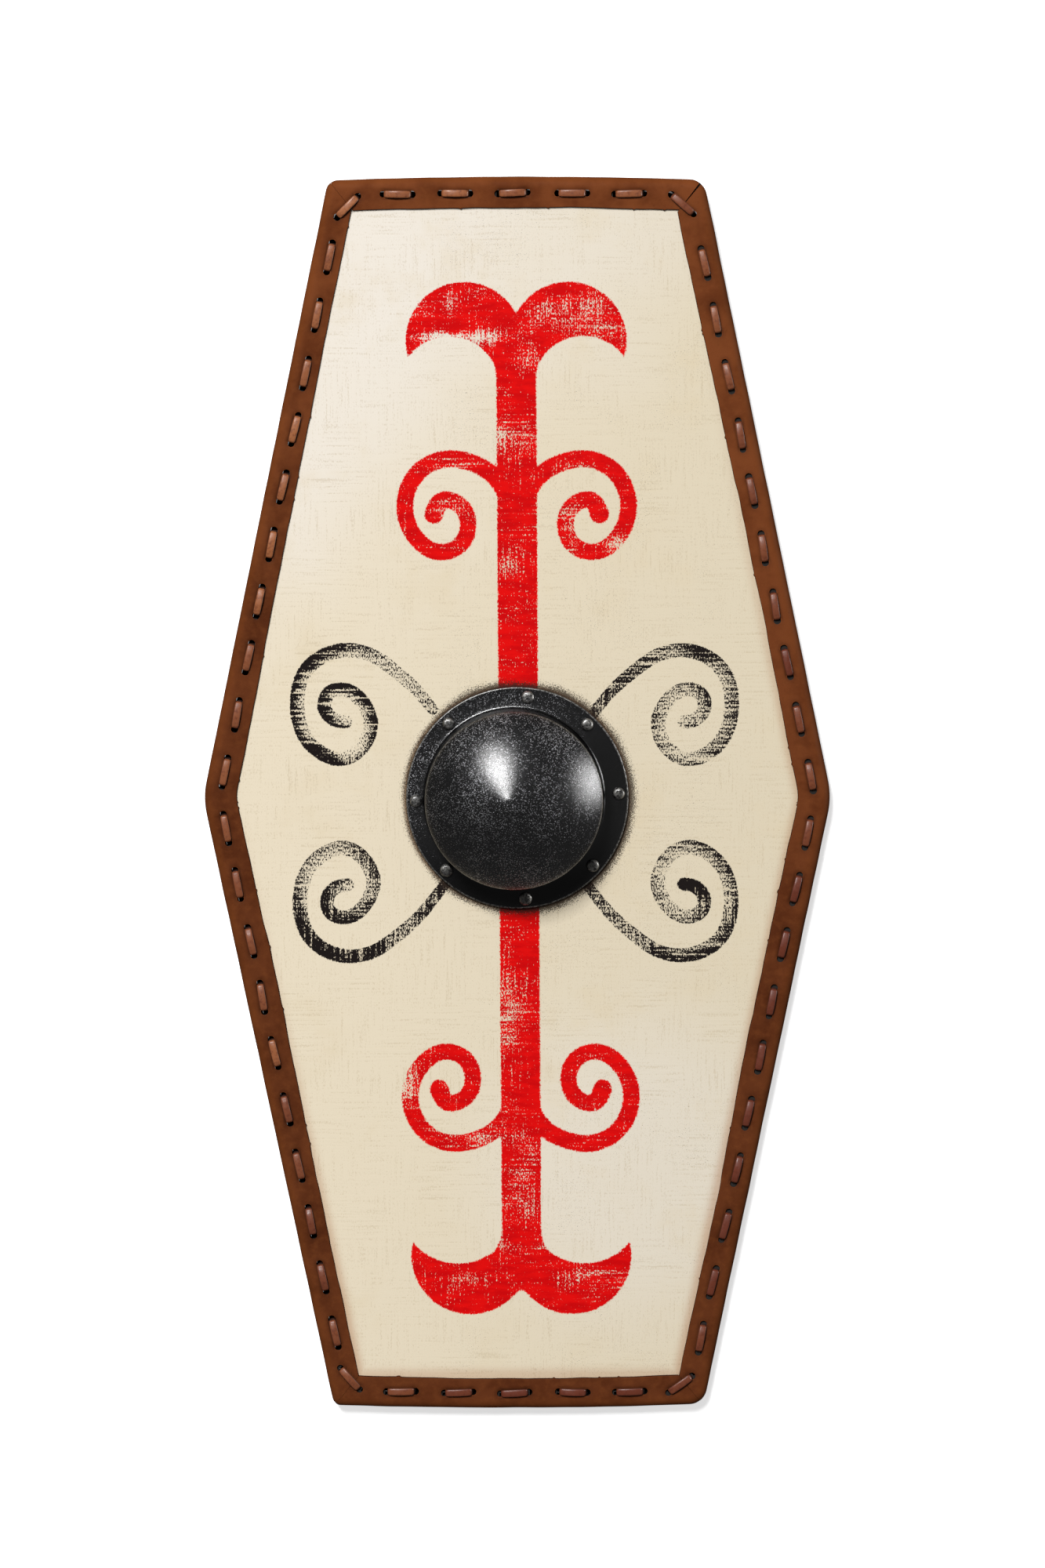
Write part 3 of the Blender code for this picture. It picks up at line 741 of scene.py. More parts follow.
def side_stitches():
    low = Vector(middle_corner(np.array(STITCH_INSET)))
    stretch = Vector(end_corner(np.array(STITCH_INSET))) - low
    room = stretch.length - LAST_STITCH_MARGIN
    count = round(room / STITCH_PITCH + 0.5)
    pitch = room / (count - 0.5)
    along = stretch.normalized()
    return [(low + along * pitch * (i + 0.5), along) for i in range(count)]


def slid(stitches, distance):
    return [(middle + along * distance, along) for middle, along in stitches]


def turned_stitch(stitch, corner, change):
    """A corner stitch with a share of the turn and shift of its corner, named by its signs."""
    degrees, shift_x, shift_y = CORNER_STITCH_CHANGES[corner]
    middle, along = stitch
    turn = math.radians(degrees) * change
    along = Vector((math.cos(turn) * along.x - math.sin(turn) * along.y,
                    math.sin(turn) * along.x + math.cos(turn) * along.y))
    return middle + change * Vector((shift_x, shift_y)), along


def flipped(stitches, x=1, y=1):
    return [
        (Vector((x * middle.x, y * middle.y)), Vector((-x * along.x, -y * along.y)))
        for middle, along in reversed(stitches)
    ]


def all_stitches(change):
    """The stitches as they lie on the face with change 1, and at the even holes of the board with 0."""
    right = flipped(side_stitches(), y=-1) + side_stitches()
    top_right = corner_stitch()
    bottom_right = flipped([top_right], y=-1)[0]
    top_left = flipped([top_right], x=-1)[0]
    bottom_left = (-top_right[0], -top_right[1])
    return (
        slid(flipped(end_stitches(), y=-1), change * STITCH_SLIDES["bottom"])
        + [turned_stitch(bottom_right, (1, -1), change)]
        + slid(right, change * STITCH_SLIDES["right"])
        + [turned_stitch(top_right, (1, 1), change)]
        + slid(end_stitches(), change * STITCH_SLIDES["top"])
        + [turned_stitch(top_left, (-1, 1), change)]
        + slid(flipped(right, x=-1), change * STITCH_SLIDES["left"])
        + [turned_stitch(bottom_left, (-1, -1), change)]
    )


def hand_laid(stitches):
    """The even stitches with the small shifts and turns of hand work."""
    chance = random.Random(LACING_SEED)
    laid = []
    for middle, along in stitches:
        across = Vector((-along.y, along.x))
        middle = middle + along * chance.uniform(-0.0007, 0.0007) + across * chance.uniform(-0.0004, 0.0004)
        turn = math.radians(chance.uniform(-3.2, 3.2))
        laid.append((middle, math.cos(turn) * along + math.sin(turn) * across))
    return laid


STITCHES = hand_laid(all_stitches(1))
BOARD_HOLES = [(middle - along * BOARD_HOLE_PLACE, middle + along * BOARD_HOLE_PLACE)
               for middle, along in all_stitches(0)]


# Leather rim


def skin(depth):
    """Insets and heights round the folded strip, at a depth under its outer surface."""
    flap = [(inset, RIM_FRONT - depth) for inset in np.linspace(FRONT_FOLD_WIDTH, ROLL_RADIUS, 13)]
    radius = ROLL_RADIUS - depth
    turns = np.linspace(0, math.pi / 2, 7)
    front = [
        (ROLL_RADIUS - radius * math.sin(a), RIM_FRONT - ROLL_RADIUS + radius * math.cos(a))
        for a in turns[1:]
    ]
    wall = [(depth, RIM_FRONT / 2)]
    back = [(ROLL_RADIUS - radius * math.cos(a), ROLL_RADIUS - radius * math.sin(a)) for a in turns]
    fold = [(BACK_FOLD_WIDTH, depth)]
    return flap + front + wall + back + fold


def strip_profile():
    """Insets, heights and outward directions round the closed section, and how far out each point is."""
    outer = skin(0)
    edge = [(FRONT_FOLD_WIDTH - across, RIM_FRONT - down) for across, down in (
        (0, CUT_ROUNDING), (CUT_CHAMFER, CUT_CHAMFER), (CUT_ROUNDING, 0))]
    outer = edge + outer[1:]
    inner = list(reversed(skin(LEATHER_THICKNESS)))
    points = np.array(outer + inner)
    before = np.roll(points, 1, 0)
    after = np.roll(points, -1, 0)
    tangent = after - before
    outward = np.stack([tangent[:, 1], -tangent[:, 0]], -1)
    outward /= np.linalg.norm(outward, axis=1)[:, None]
    on_outside = np.array([1] * len(outer) + [0] * len(inner))
    return points[:, 0], points[:, 1], outward, on_outside


def puckers(x, y):
    """Height that the lacing adds to the flap, and the painted shadow beside the lace and round the holes."""
    height = np.zeros_like(x)
    lace_shadow = np.zeros_like(x)
    chance = random.Random(RIM_SEED)
    for middle, along in STITCHES:
        strength = chance.uniform(0.6, 1.3)
        u = (x - middle.x) * along.x + (y - middle.y) * along.y
        v = (y - middle.y) * along.x - (x - middle.x) * along.y
        near = bell(np.clip(np.abs(u) - 0.010, 0, 0.018), 0.003)
        groove = -GROOVE_DEPTH * bell(v, 0.0036) * near
        swell = SWELL_HEIGHT * bell(np.abs(v) - 0.0058, 0.0022) * near
        reach = np.hypot(np.abs(u) - HOLE_PLACE, v)
        dip = -DIP_DEPTH * bell(reach, 0.0042)
        lip = LIP_HEIGHT * bell(reach - 0.0050, 0.0014) * (np.abs(u) > HOLE_PLACE)
        height += strength * (groove + swell + dip + lip)
        beside = bell(np.abs(v) - LACE_WIDTH / 2 - 0.0003, 0.0011) * near
        around = bell(reach, 0.0040)
        lace_shadow = np.maximum(lace_shadow, 0.5 * strength * beside + 0.6 * around)
    return height, np.clip(lace_shadow, 0, 0.8)


# Short creases in the flap near the middle corners: where each starts and how it runs
CREASES = (
    ((0.2515, 0.0330), (0.0085, -0.0030)),
    ((0.2480, 0.0475), (0.0050, -0.0010)),
    ((0.2520, 0.0120), (0.0100, -0.0040)),
    ((0.2470, -0.0430), (0.0095, 0.0010)),
    ((-0.2505, -0.0100), (-0.0060, 0.0015)),
)
CREASE_DEPTH = 0.0004
CREASE_WIDTH = 0.0011


def creases(x, y):
    height = np.zeros_like(x)
    for start, run in CREASES:
        length = math.hypot(*run)
        u = ((x - start[0]) * run[0] + (y - start[1]) * run[1]) / length
        v = ((y - start[1]) * run[0] - (x - start[0]) * run[1]) / length
        off = np.hypot(v, np.maximum(u - length, 0) + np.maximum(-u, 0))
        fade = np.clip(1.3 - u / length, 0.2, 1)
        height -= CREASE_DEPTH * fade * bell(off, CREASE_WIDTH)
        height += 0.5 * CREASE_DEPTH * fade * bell(off - 2 * CREASE_WIDTH, CREASE_WIDTH)
    return height


def side_stations():
    """Ways to find a point of the right side, from the top mitre to the bottom one."""
    half = [(on_end_corner, angle) for angle in np.linspace(MITRE_ANGLE, SIDE_LEAN, CORNER_STATIONS)]
    steps = round(END_CORNER_Y / math.cos(SIDE_LEAN) / STRIP_STEP)
    half += [(on_straight_side, share) for share in np.linspace(0, 1, steps)[1:-1]]
    half += [(on_middle_corner, angle) for angle in np.linspace(SIDE_LEAN, 0, 9)]
    upper = [(place, value, 1) for place, value in half]
    lower = [(place, value, -1) for place, value in reversed(half[:-1])]
    return upper + lower


def end_stations():
    """Ways to find a point of the top edge, from the right mitre to the left one."""
    half = [(on_end_corner, angle) for angle in np.linspace(MITRE_ANGLE, math.pi / 2, CORNER_STATIONS)]
    steps = round(END_WIDTH / 2 / STRIP_STEP)
    half += [(on_end_edge, share) for share in np.linspace(1, 0, steps)[1:]]
    right = [(place, value, 1) for place, value in half]
    left = [(place, value, -1) for place, value in reversed(half[:-1])]
    return right + left


def edge_nibs(length, chance):
    """Places of the small teeth that the knife left along the flap."""
    count = round(length / NIB_SPACING)
    return [chance.uniform(NIB_MARGIN, length - NIB_MARGIN) for _ in range(count)]


def edge_change(name, s, length, nibs, seed):
    """How far the hand-cut edge of a strip's flap lies inside its line at a place along it."""
    change = EDGE_WAVE * (wave(s, 0.055, seed) + 0.5 * wave(s, 0.013, seed + 1))
    change += np.interp(s / length, *zip(*EDGE_DRIFT[name]))
    return change + sum(NIB_LENGTH for nib in nibs if abs(s - nib) < STRIP_STEP / 2)


def strip_sections(name, stations, flips, seed):
    """Sections of one strip with its hand-cut edge, puckers and uneven roll.

    Flips are the signs that x and y have in the strip's quarter. The stations of a
    corner share their inner points, so they get the same edge there.
    """
    inset, height, outward, on_outside = strip_profile()
    chance = random.Random(seed)
    on_side = name in ("left", "right")
    opened = name in ("right", "top")

    def turns(side):
        return (flips[0], flips[1] * side) if on_side else (flips[0] * side, flips[1])

    spots = [place(value, np.zeros(1), END_CORNER_RADII[turns(side)])[0] * turns(side)
             for place, value, side in stations]
    travelled = np.concatenate([[0], np.cumsum(np.hypot(*np.diff(spots, axis=0).T))])
    nibs = edge_nibs(travelled[-1], chance)
    edge_share = np.clip((inset - ROLL_RADIUS) / (FRONT_FOLD_WIDTH - ROLL_RADIUS), 0, 1)
    to_corner = np.array(SIDE_DIRECTION if on_side else END_DIRECTION)
    last = len(stations) - 1
    sections, lit_roll, cut_edge_and_shadow, groove = [], [], [], []
    for i, (place, value, side) in enumerate(stations):
        s = travelled[min(max(i, CORNER_STATIONS - 1), last - CORNER_STATIONS + 1)]
        corner_radius = END_CORNER_RADII[turns(side)]
        local = inset + edge_change(name, s, travelled[-1], nibs, seed) * edge_share**3
        straight = place(value, local, corner_radius)
        facing = straight - place(value, local + 1e-4, corner_radius)
        facing = facing * turns(side) / np.maximum(np.linalg.norm(facing, axis=1), 1e-9)[:, None]
        gap = np.full_like(local, MITRE_GAP / 2 if place is on_end_corner else 0)
        if opened and place is on_end_corner and i <= last / 2:
            gap += OPEN_MITRE_GAP * (1 - local / FRONT_FOLD_WIDTH)
        point = (straight + (gap / math.sin(MITRE_ANGLE))[:, None] * to_corner) * turns(side)
        uneven = ROLL_WAVE * np.array([
            noise.noise(Vector((s / 0.03, k / 7, seed))) for k in range(len(inset))])
        on_flap = height > RIM_FRONT / 2
        laced, lace_shadow = puckers(point[:, 0], point[:, 1])
        lift = uneven + laced * on_flap * (inset > 0.003)
        lift = lift + creases(point[:, 0], point[:, 1]) * on_flap
        lift = lift * on_outside * (height > FOLD_REST)
        point = point - facing * (outward[:, 0] * lift)[:, None]
        sections.append(np.column_stack([point, height + outward[:, 1] * lift]))
        # The rolled edge's painted highlight.
        lit_roll.append(0.55 * bell(inset, 0.006) * (0.7 + 0.3 * wave(s, 0.03, seed + 2)))
        # The cut edge, darker in its own colour and with a painted contact shadow.
        cut_edge_and_shadow.append(np.where(inset > FRONT_FOLD_WIDTH - 2 * CUT_CHAMFER, 1.0, 0.0))
        # The painted shadow beside the lace and round the holes.
        groove.append(lace_shadow * on_flap)
    return sections, {"roll_highlight": lit_roll, "cut_edge_and_shadow": cut_edge_and_shadow, "groove": groove}


def lacing_holes():
    mesh = bmesh.new()
    chance = random.Random(LACING_SEED + 1)
    for middle, along in STITCHES:
        for side in (-1, 1):
            centre = middle + side * along * HOLE_PLACE
            radius = HOLE_RADIUS * chance.uniform(0.95, 1.1)
            add_prism(mesh, circle(centre, radius, HOLE_SIDES), BOARD_FRONT - GAP, RIM_FRONT + 0.002)
    return mesh


def build_rim():
    side, end = side_stations(), end_stations()
    strips = (("right", side, (1, 1)), ("left", side, (-1, 1)),
              ("top", end, (1, 1)), ("bottom", end, (1, -1)))
    for number, (name, stations, flips) in enumerate(strips):
        sections, values = strip_sections(name, stations, flips, RIM_SEED + 10 * number)
        strip = new_object(f"leather_{name}", lofted(sections, values), "brown_leather")
        cut(strip, lacing_holes(), 38)
        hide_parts(f"rim_{name}")


# Lace


def lace_section(width, thickness):
    """Points across the lace, with rounded edges and a slightly crowned face."""
    half = width / 2
    face = thickness / 2
    edge = thickness * 0.32
    crown = thickness * 0.08
    return (
        (half, edge - face), (half, face - edge), (half - edge, face), (half * 0.45, face + crown),
        (0, face + crown), (-half * 0.45, face + crown), (-half + edge, face), (-half, face - edge),
        (-half, edge - face), (-half + edge, -face), (0, -face), (half - edge, -face),
    )


def half_stitch(rise, roll):
    """From a stitch's middle to the back: reach, level, downward turn, width, tilt and share of the drift."""
    half = []
    for t in np.linspace(0, 1, 9):
        level = LACE_FRONT + rise * (1 - t**2) ** 0.8
        half.append((t * (LACE_FOOT - LACE_BEND), level, 0.0, 1 - 0.03 * t, roll * (1 - t**2), 0))
    for a in np.linspace(0, math.pi / 2, 6)[1:]:
        level = LACE_FRONT - LACE_BEND + LACE_BEND * math.cos(a)
        half.append((LACE_FOOT - LACE_BEND + LACE_BEND * math.sin(a), level, a, 0.97 - 0.1 * a, 0, 0))
    for share in (0.4, 0.75):
        level = LACE_FRONT - LACE_BEND + share * (LACE_BACK - LACE_FRONT + 2 * LACE_BEND)
        half.append((LACE_FOOT, level, math.pi / 2, 0.8, 0, share))
    return half


def laid_half(half, stitch, sign, hole, run, tone, tail):
    """Half a stitch as laid, on through its board hole and round into the run behind the board."""
    middle, along, hole = stitch[0].to_3d(), stitch[1].to_3d(), hole.to_3d()
    run = run.normalized().to_3d()
    up = Vector((0, 0, 1))
    across, run_across = up.cross(along), up.cross(run)
    drift = hole - middle - along * sign * LACE_FOOT
    stations = []
    for reach, z, turn, width, tilt, depth in half:
        centre = middle + along * sign * reach + up * z + drift * depth
        travel = along * math.cos(turn) - up * sign * math.sin(turn)
        share = 0.0 if z > RIM_FRONT - LEATHER_THICKNESS else 0.5
        over = math.cos(tilt) * across.lerp(run_across, share).normalized() + math.sin(tilt) * up
        stations.append((centre, travel, over, width, tone))
    for a in np.linspace(math.pi / 2, 0, 5):
        reach = sign * LACE_BEND * (1 - math.sin(a))
        z = LACE_BACK + LACE_BEND * (1 - math.cos(a))
        travel = run * math.cos(a) - up * sign * math.sin(a)
        width = 0.86 + 0.14 * math.cos(a)
        stations.append((hole + run * reach + up * z, travel, run_across, width, tone))
    if tail:
        end = hole + run * sign * (LACE_BEND + LACE_TAIL) + up * LACE_BACK
        stations.append((end, run, run_across, 1.0, tone))
    return stations


def lace_stations():
    """The lace's route: centre, direction, width direction, width share and tone of each section."""
    chance = random.Random(LACING_SEED + 2)
    route = []
    last = len(STITCHES) - 1
    for i, stitch in enumerate(STITCHES):
        half = half_stitch(chance.uniform(0.0007, 0.0017), math.radians(chance.uniform(-5, 5)))
        # Lighter towards the upper left and darker towards the lower right, as the light falls, with a share
        # at random: painted light.
        tone = 0.35 - 1.2 * stitch[0].x + 0.5 * stitch[0].y + chance.uniform(-0.25, 0.25)
        first_hole, second_hole = BOARD_HOLES[i]
        before = first_hole - BOARD_HOLES[i - 1][1]
        after = BOARD_HOLES[i - last][0] - second_hole
        route += reversed(laid_half(half, stitch, -1, first_hole, before, tone, i == 0))
        route += laid_half(half, stitch, 1, second_hole, after, tone, i == last)[1:]
    return route


def build_lace():
    sections, tones, edges = [], [], []
    profile = lace_section(LACE_WIDTH, LACE_THICKNESS)
    for centre, travel, over, width, tone in lace_stations():
        normal = travel.cross(over).normalized()
        sections.append([centre + over * (w * width) + normal * n for w, n in profile])
        tones.append([tone] * len(profile))
        sunk = centre.z < RIM_FRONT
        # Painted shade on the lace's edges and on the parts sunk into the holes.
        edges.append([0.9 if sunk else 0.8 * (abs(w) > LACE_WIDTH * 0.49) for w, n in profile])
    mesh = lofted(sections, {"stitch_tone": tones, "lace_shade": edges})
    lace = new_object("leather_lace", mesh, "lacing_leather", smooth=50)
    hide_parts("lace")


# Boss and rivets


def turned(name, levels, place=(0, 0), sides=TURNED_SIDES, smooth=35):
    """A closed turned piece. Levels are (radius, height, axis x, share of rubbing and painted highlight);
    radius 0 is a point.
    """
    mesh = bmesh.new()
    layer = mesh.verts.layers.float.new("rubbed_and_gleam")
    loops = []
    for radius, z, axis, rub_and_gleam in levels:
        centre = (place[0] + axis, place[1])
        spots = circle(centre, radius, sides) if radius else [centre]
        loop = [mesh.verts.new((x, y, z)) for x, y in spots]
        for vertex in loop:
            vertex[layer] = rub_and_gleam
        loops.append(loop)
    for first, second in zip(loops, loops[1:]):
        if len(first) == 1 or len(second) == 1:
            tip, rim = (first[0], second) if len(first) == 1 else (second[0], first)
            for i in range(sides):
                mesh.faces.new((rim[i], rim[(i + 1) % sides], tip))
        else:
            bridge(mesh, first, second)
    for loop in (loops[0], loops[-1]):
        if len(loop) > 1:
            mesh.faces.new(loop)
    return new_object(name, mesh, "black_iron", smooth)


def cap_height(share):
    return CAP_RISE * (1 - CAP_CONE_SHARE * share - (1 - CAP_CONE_SHARE) * share**3)


def boss_levels():
    """The boss's section from the inner tip, down inside, over the flange and up to the outer tip."""
    arris = NECK_RADIUS - NECK_TAPER
    inner = arris - BOSS_WALL
    inner_height = ARRIS_HEIGHT - BOSS_WALL / 2
    front = FLANGE_BACK + FLANGE_THICKNESS
    levels = [(0, inner_height + cap_height(0.04), DOME_OFFSET, 0)]
    levels += [(inner * s, inner_height + cap_height(s), DOME_OFFSET, 0) for s in np.linspace(0.1, 1, 12)]
    levels += [(NECK_RADIUS - BOSS_WALL, FLANGE_BACK, DOME_OFFSET, 0)]
    levels += [(FLANGE_RADIUS - FLANGE_BACK_CHAMFER, FLANGE_BACK, 0, 0)]
    # The flange's rounded edge is lighter: rubbing and a painted highlight.
    levels += [(FLANGE_RADIUS, FLANGE_BACK + FLANGE_BACK_CHAMFER, 0, 0.1)]
    edge = FLANGE_ROUNDING
    for a in np.linspace(0, math.pi / 2, 6):
        levels.append((FLANGE_RADIUS - edge + edge * math.cos(a), front - edge + edge * math.sin(a), 0, 0.5))
    levels.append((FLANGE_RADIUS - edge - 0.0005, front, 0, 0))
    border = FLANGE_RADIUS - FLANGE_BORDER
    for share in (0, 0.25, 0.5, 0.75):
        radius = border + share * (NECK_RADIUS + 0.0025 - border)
        levels.append((radius, front - FLANGE_DISH, DOME_OFFSET * share, 0))
    for a in np.linspace(0, math.pi / 2, 5):
        radius = NECK_RADIUS + NECK_FOOT * (1 - math.sin(a))
        levels.append((radius, front + NECK_FOOT * (1 - math.cos(a)), DOME_OFFSET, 0))
    levels.append(((NECK_RADIUS + arris) / 2, front + NECK_HEIGHT * 0.5, DOME_OFFSET, 0))
    # The arris bead is lighter: rubbing and a painted highlight.
    for inward, up, rub_and_gleam in ((0, -1, 0.1), (0.2, -0.4, 0.4), (0.8, 0.2, 0.4)):
        levels.append((arris - ARRIS_BEAD * inward, ARRIS_HEIGHT + ARRIS_BEAD * up, DOME_OFFSET, rub_and_gleam))
    for share in np.linspace(0.98, 0.05, 34):
        axis = DOME_OFFSET + TIP_LEAN * (1 - share)
        levels.append((arris * share, ARRIS_HEIGHT + cap_height(share), axis, 0))
    levels.append((0, BOSS_TOP, DOME_OFFSET + TIP_LEAN, 0))
    return levels


def rivet_places():
    turns = [math.radians(angle) for angle in RIVET_ANGLES]
    return [(RIVET_CIRCLE_RADIUS * math.cos(a), RIVET_CIRCLE_RADIUS * math.sin(a)) for a in turns]


def rivet_holes(places, low, high):
    mesh = bmesh.new()
    for place in places:
        add_prism(mesh, circle(place, RIVET_HOLE_RADIUS, 12), low, high)
    return mesh


def build_boss():
    boss = turned("iron_boss", boss_levels())
    cut(boss, rivet_holes(rivet_places(), FLANGE_BACK - 0.002, FLANGE_BACK + 0.006), 35)
    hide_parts("boss")


def build_rivets():
    """Hand-set rivets, each with a soft head of its own size and lean."""
    chance = random.Random(RIVET_SEED)
    seat = FLANGE_BACK + FLANGE_THICKNESS + RIVET_SEAT_GAP
    for number, place in enumerate(rivet_places(), 1):
        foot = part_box(f"rivet_{number}")[0].z
        head = RIVET_HEAD_RADIUS * chance.uniform(0.95, 1.04)
        rise = RIVET_HEAD_HEIGHT * chance.uniform(0.82, 1)
        outline = ((RIVET_SHANK_RADIUS, foot), (RIVET_SHANK_RADIUS, seat), (head * 0.96, seat))
        levels = [(radius, z, 0, 0) for radius, z in outline]
        # Each head is lighter in a ring partway up: rubbing and a painted highlight.
        for a in np.linspace(0.1, math.pi / 2, 9)[:-1]:
            radius = head * math.cos(a) ** 0.5
            levels.append((radius, seat + rise * math.sin(a) ** 0.9, 0, 0.25 + 0.5 * math.sin(2 * a)))
        levels.append((0, seat + rise, 0, 0.25))
        rivet = turned(f"iron_rivet_{number}", levels, place, 28, 60)
        for vertex in rivet.data.vertices:
            if vertex.co.z > seat + 0.001:
                vertex.co.z += 0.00025 * noise.noise(vertex.co * 300 + Vector((number, 0, 0)))
        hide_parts(f"rivet_{number}")


# Grip


def build_grip():
    low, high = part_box("grip")
    thickness = high.z - low.z
    sections = []
    stations = np.concatenate([
        np.linspace(0, HANDLE_END - 0.003, 6), np.linspace(HANDLE_END, TAPER_END, 7), [0.08, 0.1, high.x]])
    for x in stations:
        taper = min(max((x - HANDLE_END) / (TAPER_END - HANDLE_END), 0), 1)
        taper = taper * taper * (3 - 2 * taper)
        depth = thickness + (TONGUE_THICKNESS - thickness) * taper
        rounding = HANDLE_ROUNDING + (TONGUE_ROUNDING - HANDLE_ROUNDING) * taper
        sections.append(grip_section(x, low.z, depth, high.y, rounding))
    mirrored = [[(-x, y, z) for x, y, z in section] for section in reversed(sections[1:])]
    grip = new_object("wooden_grip", lofted(mirrored + sections), "grip_wood")
    side_rivets = (rivet_places()[0], rivet_places()[4])
    cut(grip, rivet_holes(side_rivets, low.z - 0.002, high.z), 40)
    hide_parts("grip")


def grip_section(x, low, depth, half, rounding):
    """Section of the grip: a flat back and a front with rounded edges."""
    edge = GRIP_BACK_EDGE
    top = [(half - rounding + rounding * math.cos(a), low + depth - rounding + rounding * math.sin(a))
           for a in np.linspace(0, math.pi / 2, 6)]
    right = [(half - edge, low), (half - 0.3 * edge, low + 0.3 * edge), (half, low + edge)] + top
    left = [(-y, z) for y, z in reversed(right)]
    return [(x, y, z) for y, z in right + left]


# Painted face


def smooth_line(points, step=0.7, rooted=False):
    """Points every step along a smooth curve through the given ones, and each one's share of the length.

    A rooted line has one more point ahead of its start, where the shares are below zero.
    """
    points = np.array(points, float)
    chords = np.linalg.norm(np.diff(points, axis=0), axis=1)
    knots = np.concatenate([[0], np.cumsum(chords)])
    slopes = np.diff(points, axis=0) / chords[:, None]
    system = np.eye(len(points))
    pull = np.zeros_like(points)
    for i in range(1, len(points) - 1):
        system[i, i - 1:i + 2] = chords[i - 1], 2 * (chords[i - 1] + chords[i]), chords[i]
        pull[i] = 6 * (slopes[i] - slopes[i - 1])
    bends = np.linalg.solve(system, pull)
    along = np.arange(0, knots[-1], step)
    i = np.searchsorted(knots, along, "right") - 1
    b = ((along - knots[i]) / chords[i])[:, None]
    a = 1 - b
    square = (chords[i]**2)[:, None]
    made = a * points[i] + b * points[i + 1]
    made += ((a**3 - a) * bends[i] + (b**3 - b) * bends[i + 1]) * square / 6
    start = knots[1] if rooted else 0
    return made, (along - start) / (knots[-1] - start)


def stroke(spots, line, widths, distance, rooted=False):
    """Lower the distances to a brush stroke's edge; give the share along it and the side for each spot."""
    points, shares = smooth_line(line, rooted=rooted)
    half = np.interp(shares, *zip(*widths)) / 2
    tangent = np.gradient(points, axis=0)
    low, high = points.min(0) - STROKE_MARGIN, points.max(0) + STROKE_MARGIN
    near = np.flatnonzero((spots > low).all(1) & (spots < high).all(1))
    found = np.full(len(spots), float(DISTANCE_LIMIT))
    share = np.zeros(len(spots))
    side = np.zeros(len(spots))
    offsets = spots[near][:, None, :] - points[None]
    reach = np.hypot(offsets[..., 0], offsets[..., 1]) - half[None]
    closest = reach.argmin(1)
    rows = np.arange(len(near))
    found[near] = reach[rows, closest]
    share[near] = shares[closest]
    off = offsets[rows, closest]
    way = tangent[closest] / np.linalg.norm(tangent[closest], axis=1)[:, None]
    side[near] = (way[:, 0] * off[:, 1] - way[:, 1] * off[:, 0]) / half[closest]
    np.minimum(distance, found, out=distance)
    return found, share, side


def disc(spots, x, y, radius):
    return np.hypot(spots[:, 0] - x, spots[:, 1] - y) - radius


def smooth_union(first, second, reach):
    """The smaller distance, with the inner corner between the two forms rounded."""
    share = np.maximum(reach - np.abs(first - second), 0) / reach
    return np.minimum(first, second) - share**2 * reach / 4


def red_distance(spots):
    """Distance from the edge of the red paint, below zero inside."""
    lean = (BAR_BOTTOM[0] - BAR_TOP[0]) / (BAR_BOTTOM[1] - BAR_TOP[1])
    axis = BAR_TOP[0] + (spots[:, 1] - BAR_TOP[1]) * lean
    sideways = np.abs(spots[:, 0] - axis) - BAR_HALF_WIDTH
    lengthways = np.abs(spots[:, 1] - (BAR_TOP[1] + BAR_BOTTOM[1]) / 2) - (BAR_TOP[1] - BAR_BOTTOM[1]) / 2
    distance = np.maximum(sideways, lengthways)
    for fleur in FLEURS:
        for side in (-1, 1):
            x, y, radius = fleur["lobe"]
            lobe = disc(spots, fleur["axis"] + side * x, y, radius)
            x, y, radius = fleur["scoop"]
            scoop = disc(spots, fleur["axis"] + side * x, y, radius)
            distance = smooth_union(distance, np.maximum(lobe, -scoop), fleur["blend"])
    for volute in VOLUTE_PLACES:
        flip = volute["flip"]
        line = [(volute["axis"] + flip[0] * x, flip[1] * (y + volute["rise"])) for x, y in VOLUTE]
        stroke(spots, line, VOLUTE_WIDTHS, distance)
    return distance


def black_scrolls(spots):
    """Distance from the edge of the black paint, how well the brush covered there, and the thread turn."""
    distance = np.full(len(spots), float(DISTANCE_LIMIT))
    cover = np.zeros(len(spots))
    patches = spots / THREAD_PATCH
    turn = np.array([0.5 + 1.5 * noise.noise(Vector((x, y, 0))) for x, y in patches])
    for scroll in SCROLL_PLACES:
        flip, shift, rooted = scroll["flip"], scroll["shift"], scroll["rooted"]
        route = (SCROLL_ROOT,) + SCROLL if rooted else SCROLL
        line = [(flip[0] * x + shift[0], flip[1] * y + shift[1]) for x, y in route]
        found, share, side = stroke(spots, line, SCROLL_WIDTHS, distance, rooted)
        shares, covers, turns = zip(*scroll["brush"])
        outward = side * flip[0] * flip[1]
        near = found < DISTANCE_LIMIT
        lean = scroll["lean"] * np.clip((share - 0.15) / 0.15, 0, 1)
        cover = np.where(near, np.interp(share, shares, covers) + lean * outward, cover)
        turn = np.where(near, np.interp(share, shares, turns), turn)
    return distance, cover, np.clip(turn, 0, 1)


def red_cover(spots):
    cover = np.full(len(spots), RED_COVER)
    for middle, reach, dryness in DRY_PATCHES:
        off = (spots - np.array(middle)) / np.array(reach)
        cover -= dryness * np.exp(-(off**2).sum(1))
    return cover


def half_width(y):
    """Half the face's width at this height, to its hidden edge under the rim."""
    lean = math.tan(SIDE_LEAN)
    straight = MIDDLE_WIDTH / 2 - FACE_INSET / math.cos(SIDE_LEAN) - np.abs(y) * lean
    centre = middle_corner(np.array(MIDDLE_CORNER_RADIUS))[0]
    radius = MIDDLE_CORNER_RADIUS - FACE_INSET
    bend = centre + np.sqrt(np.maximum(radius**2 - y**2, 0))
    return np.where(np.abs(y) < radius * math.sin(SIDE_LEAN), bend, straight)


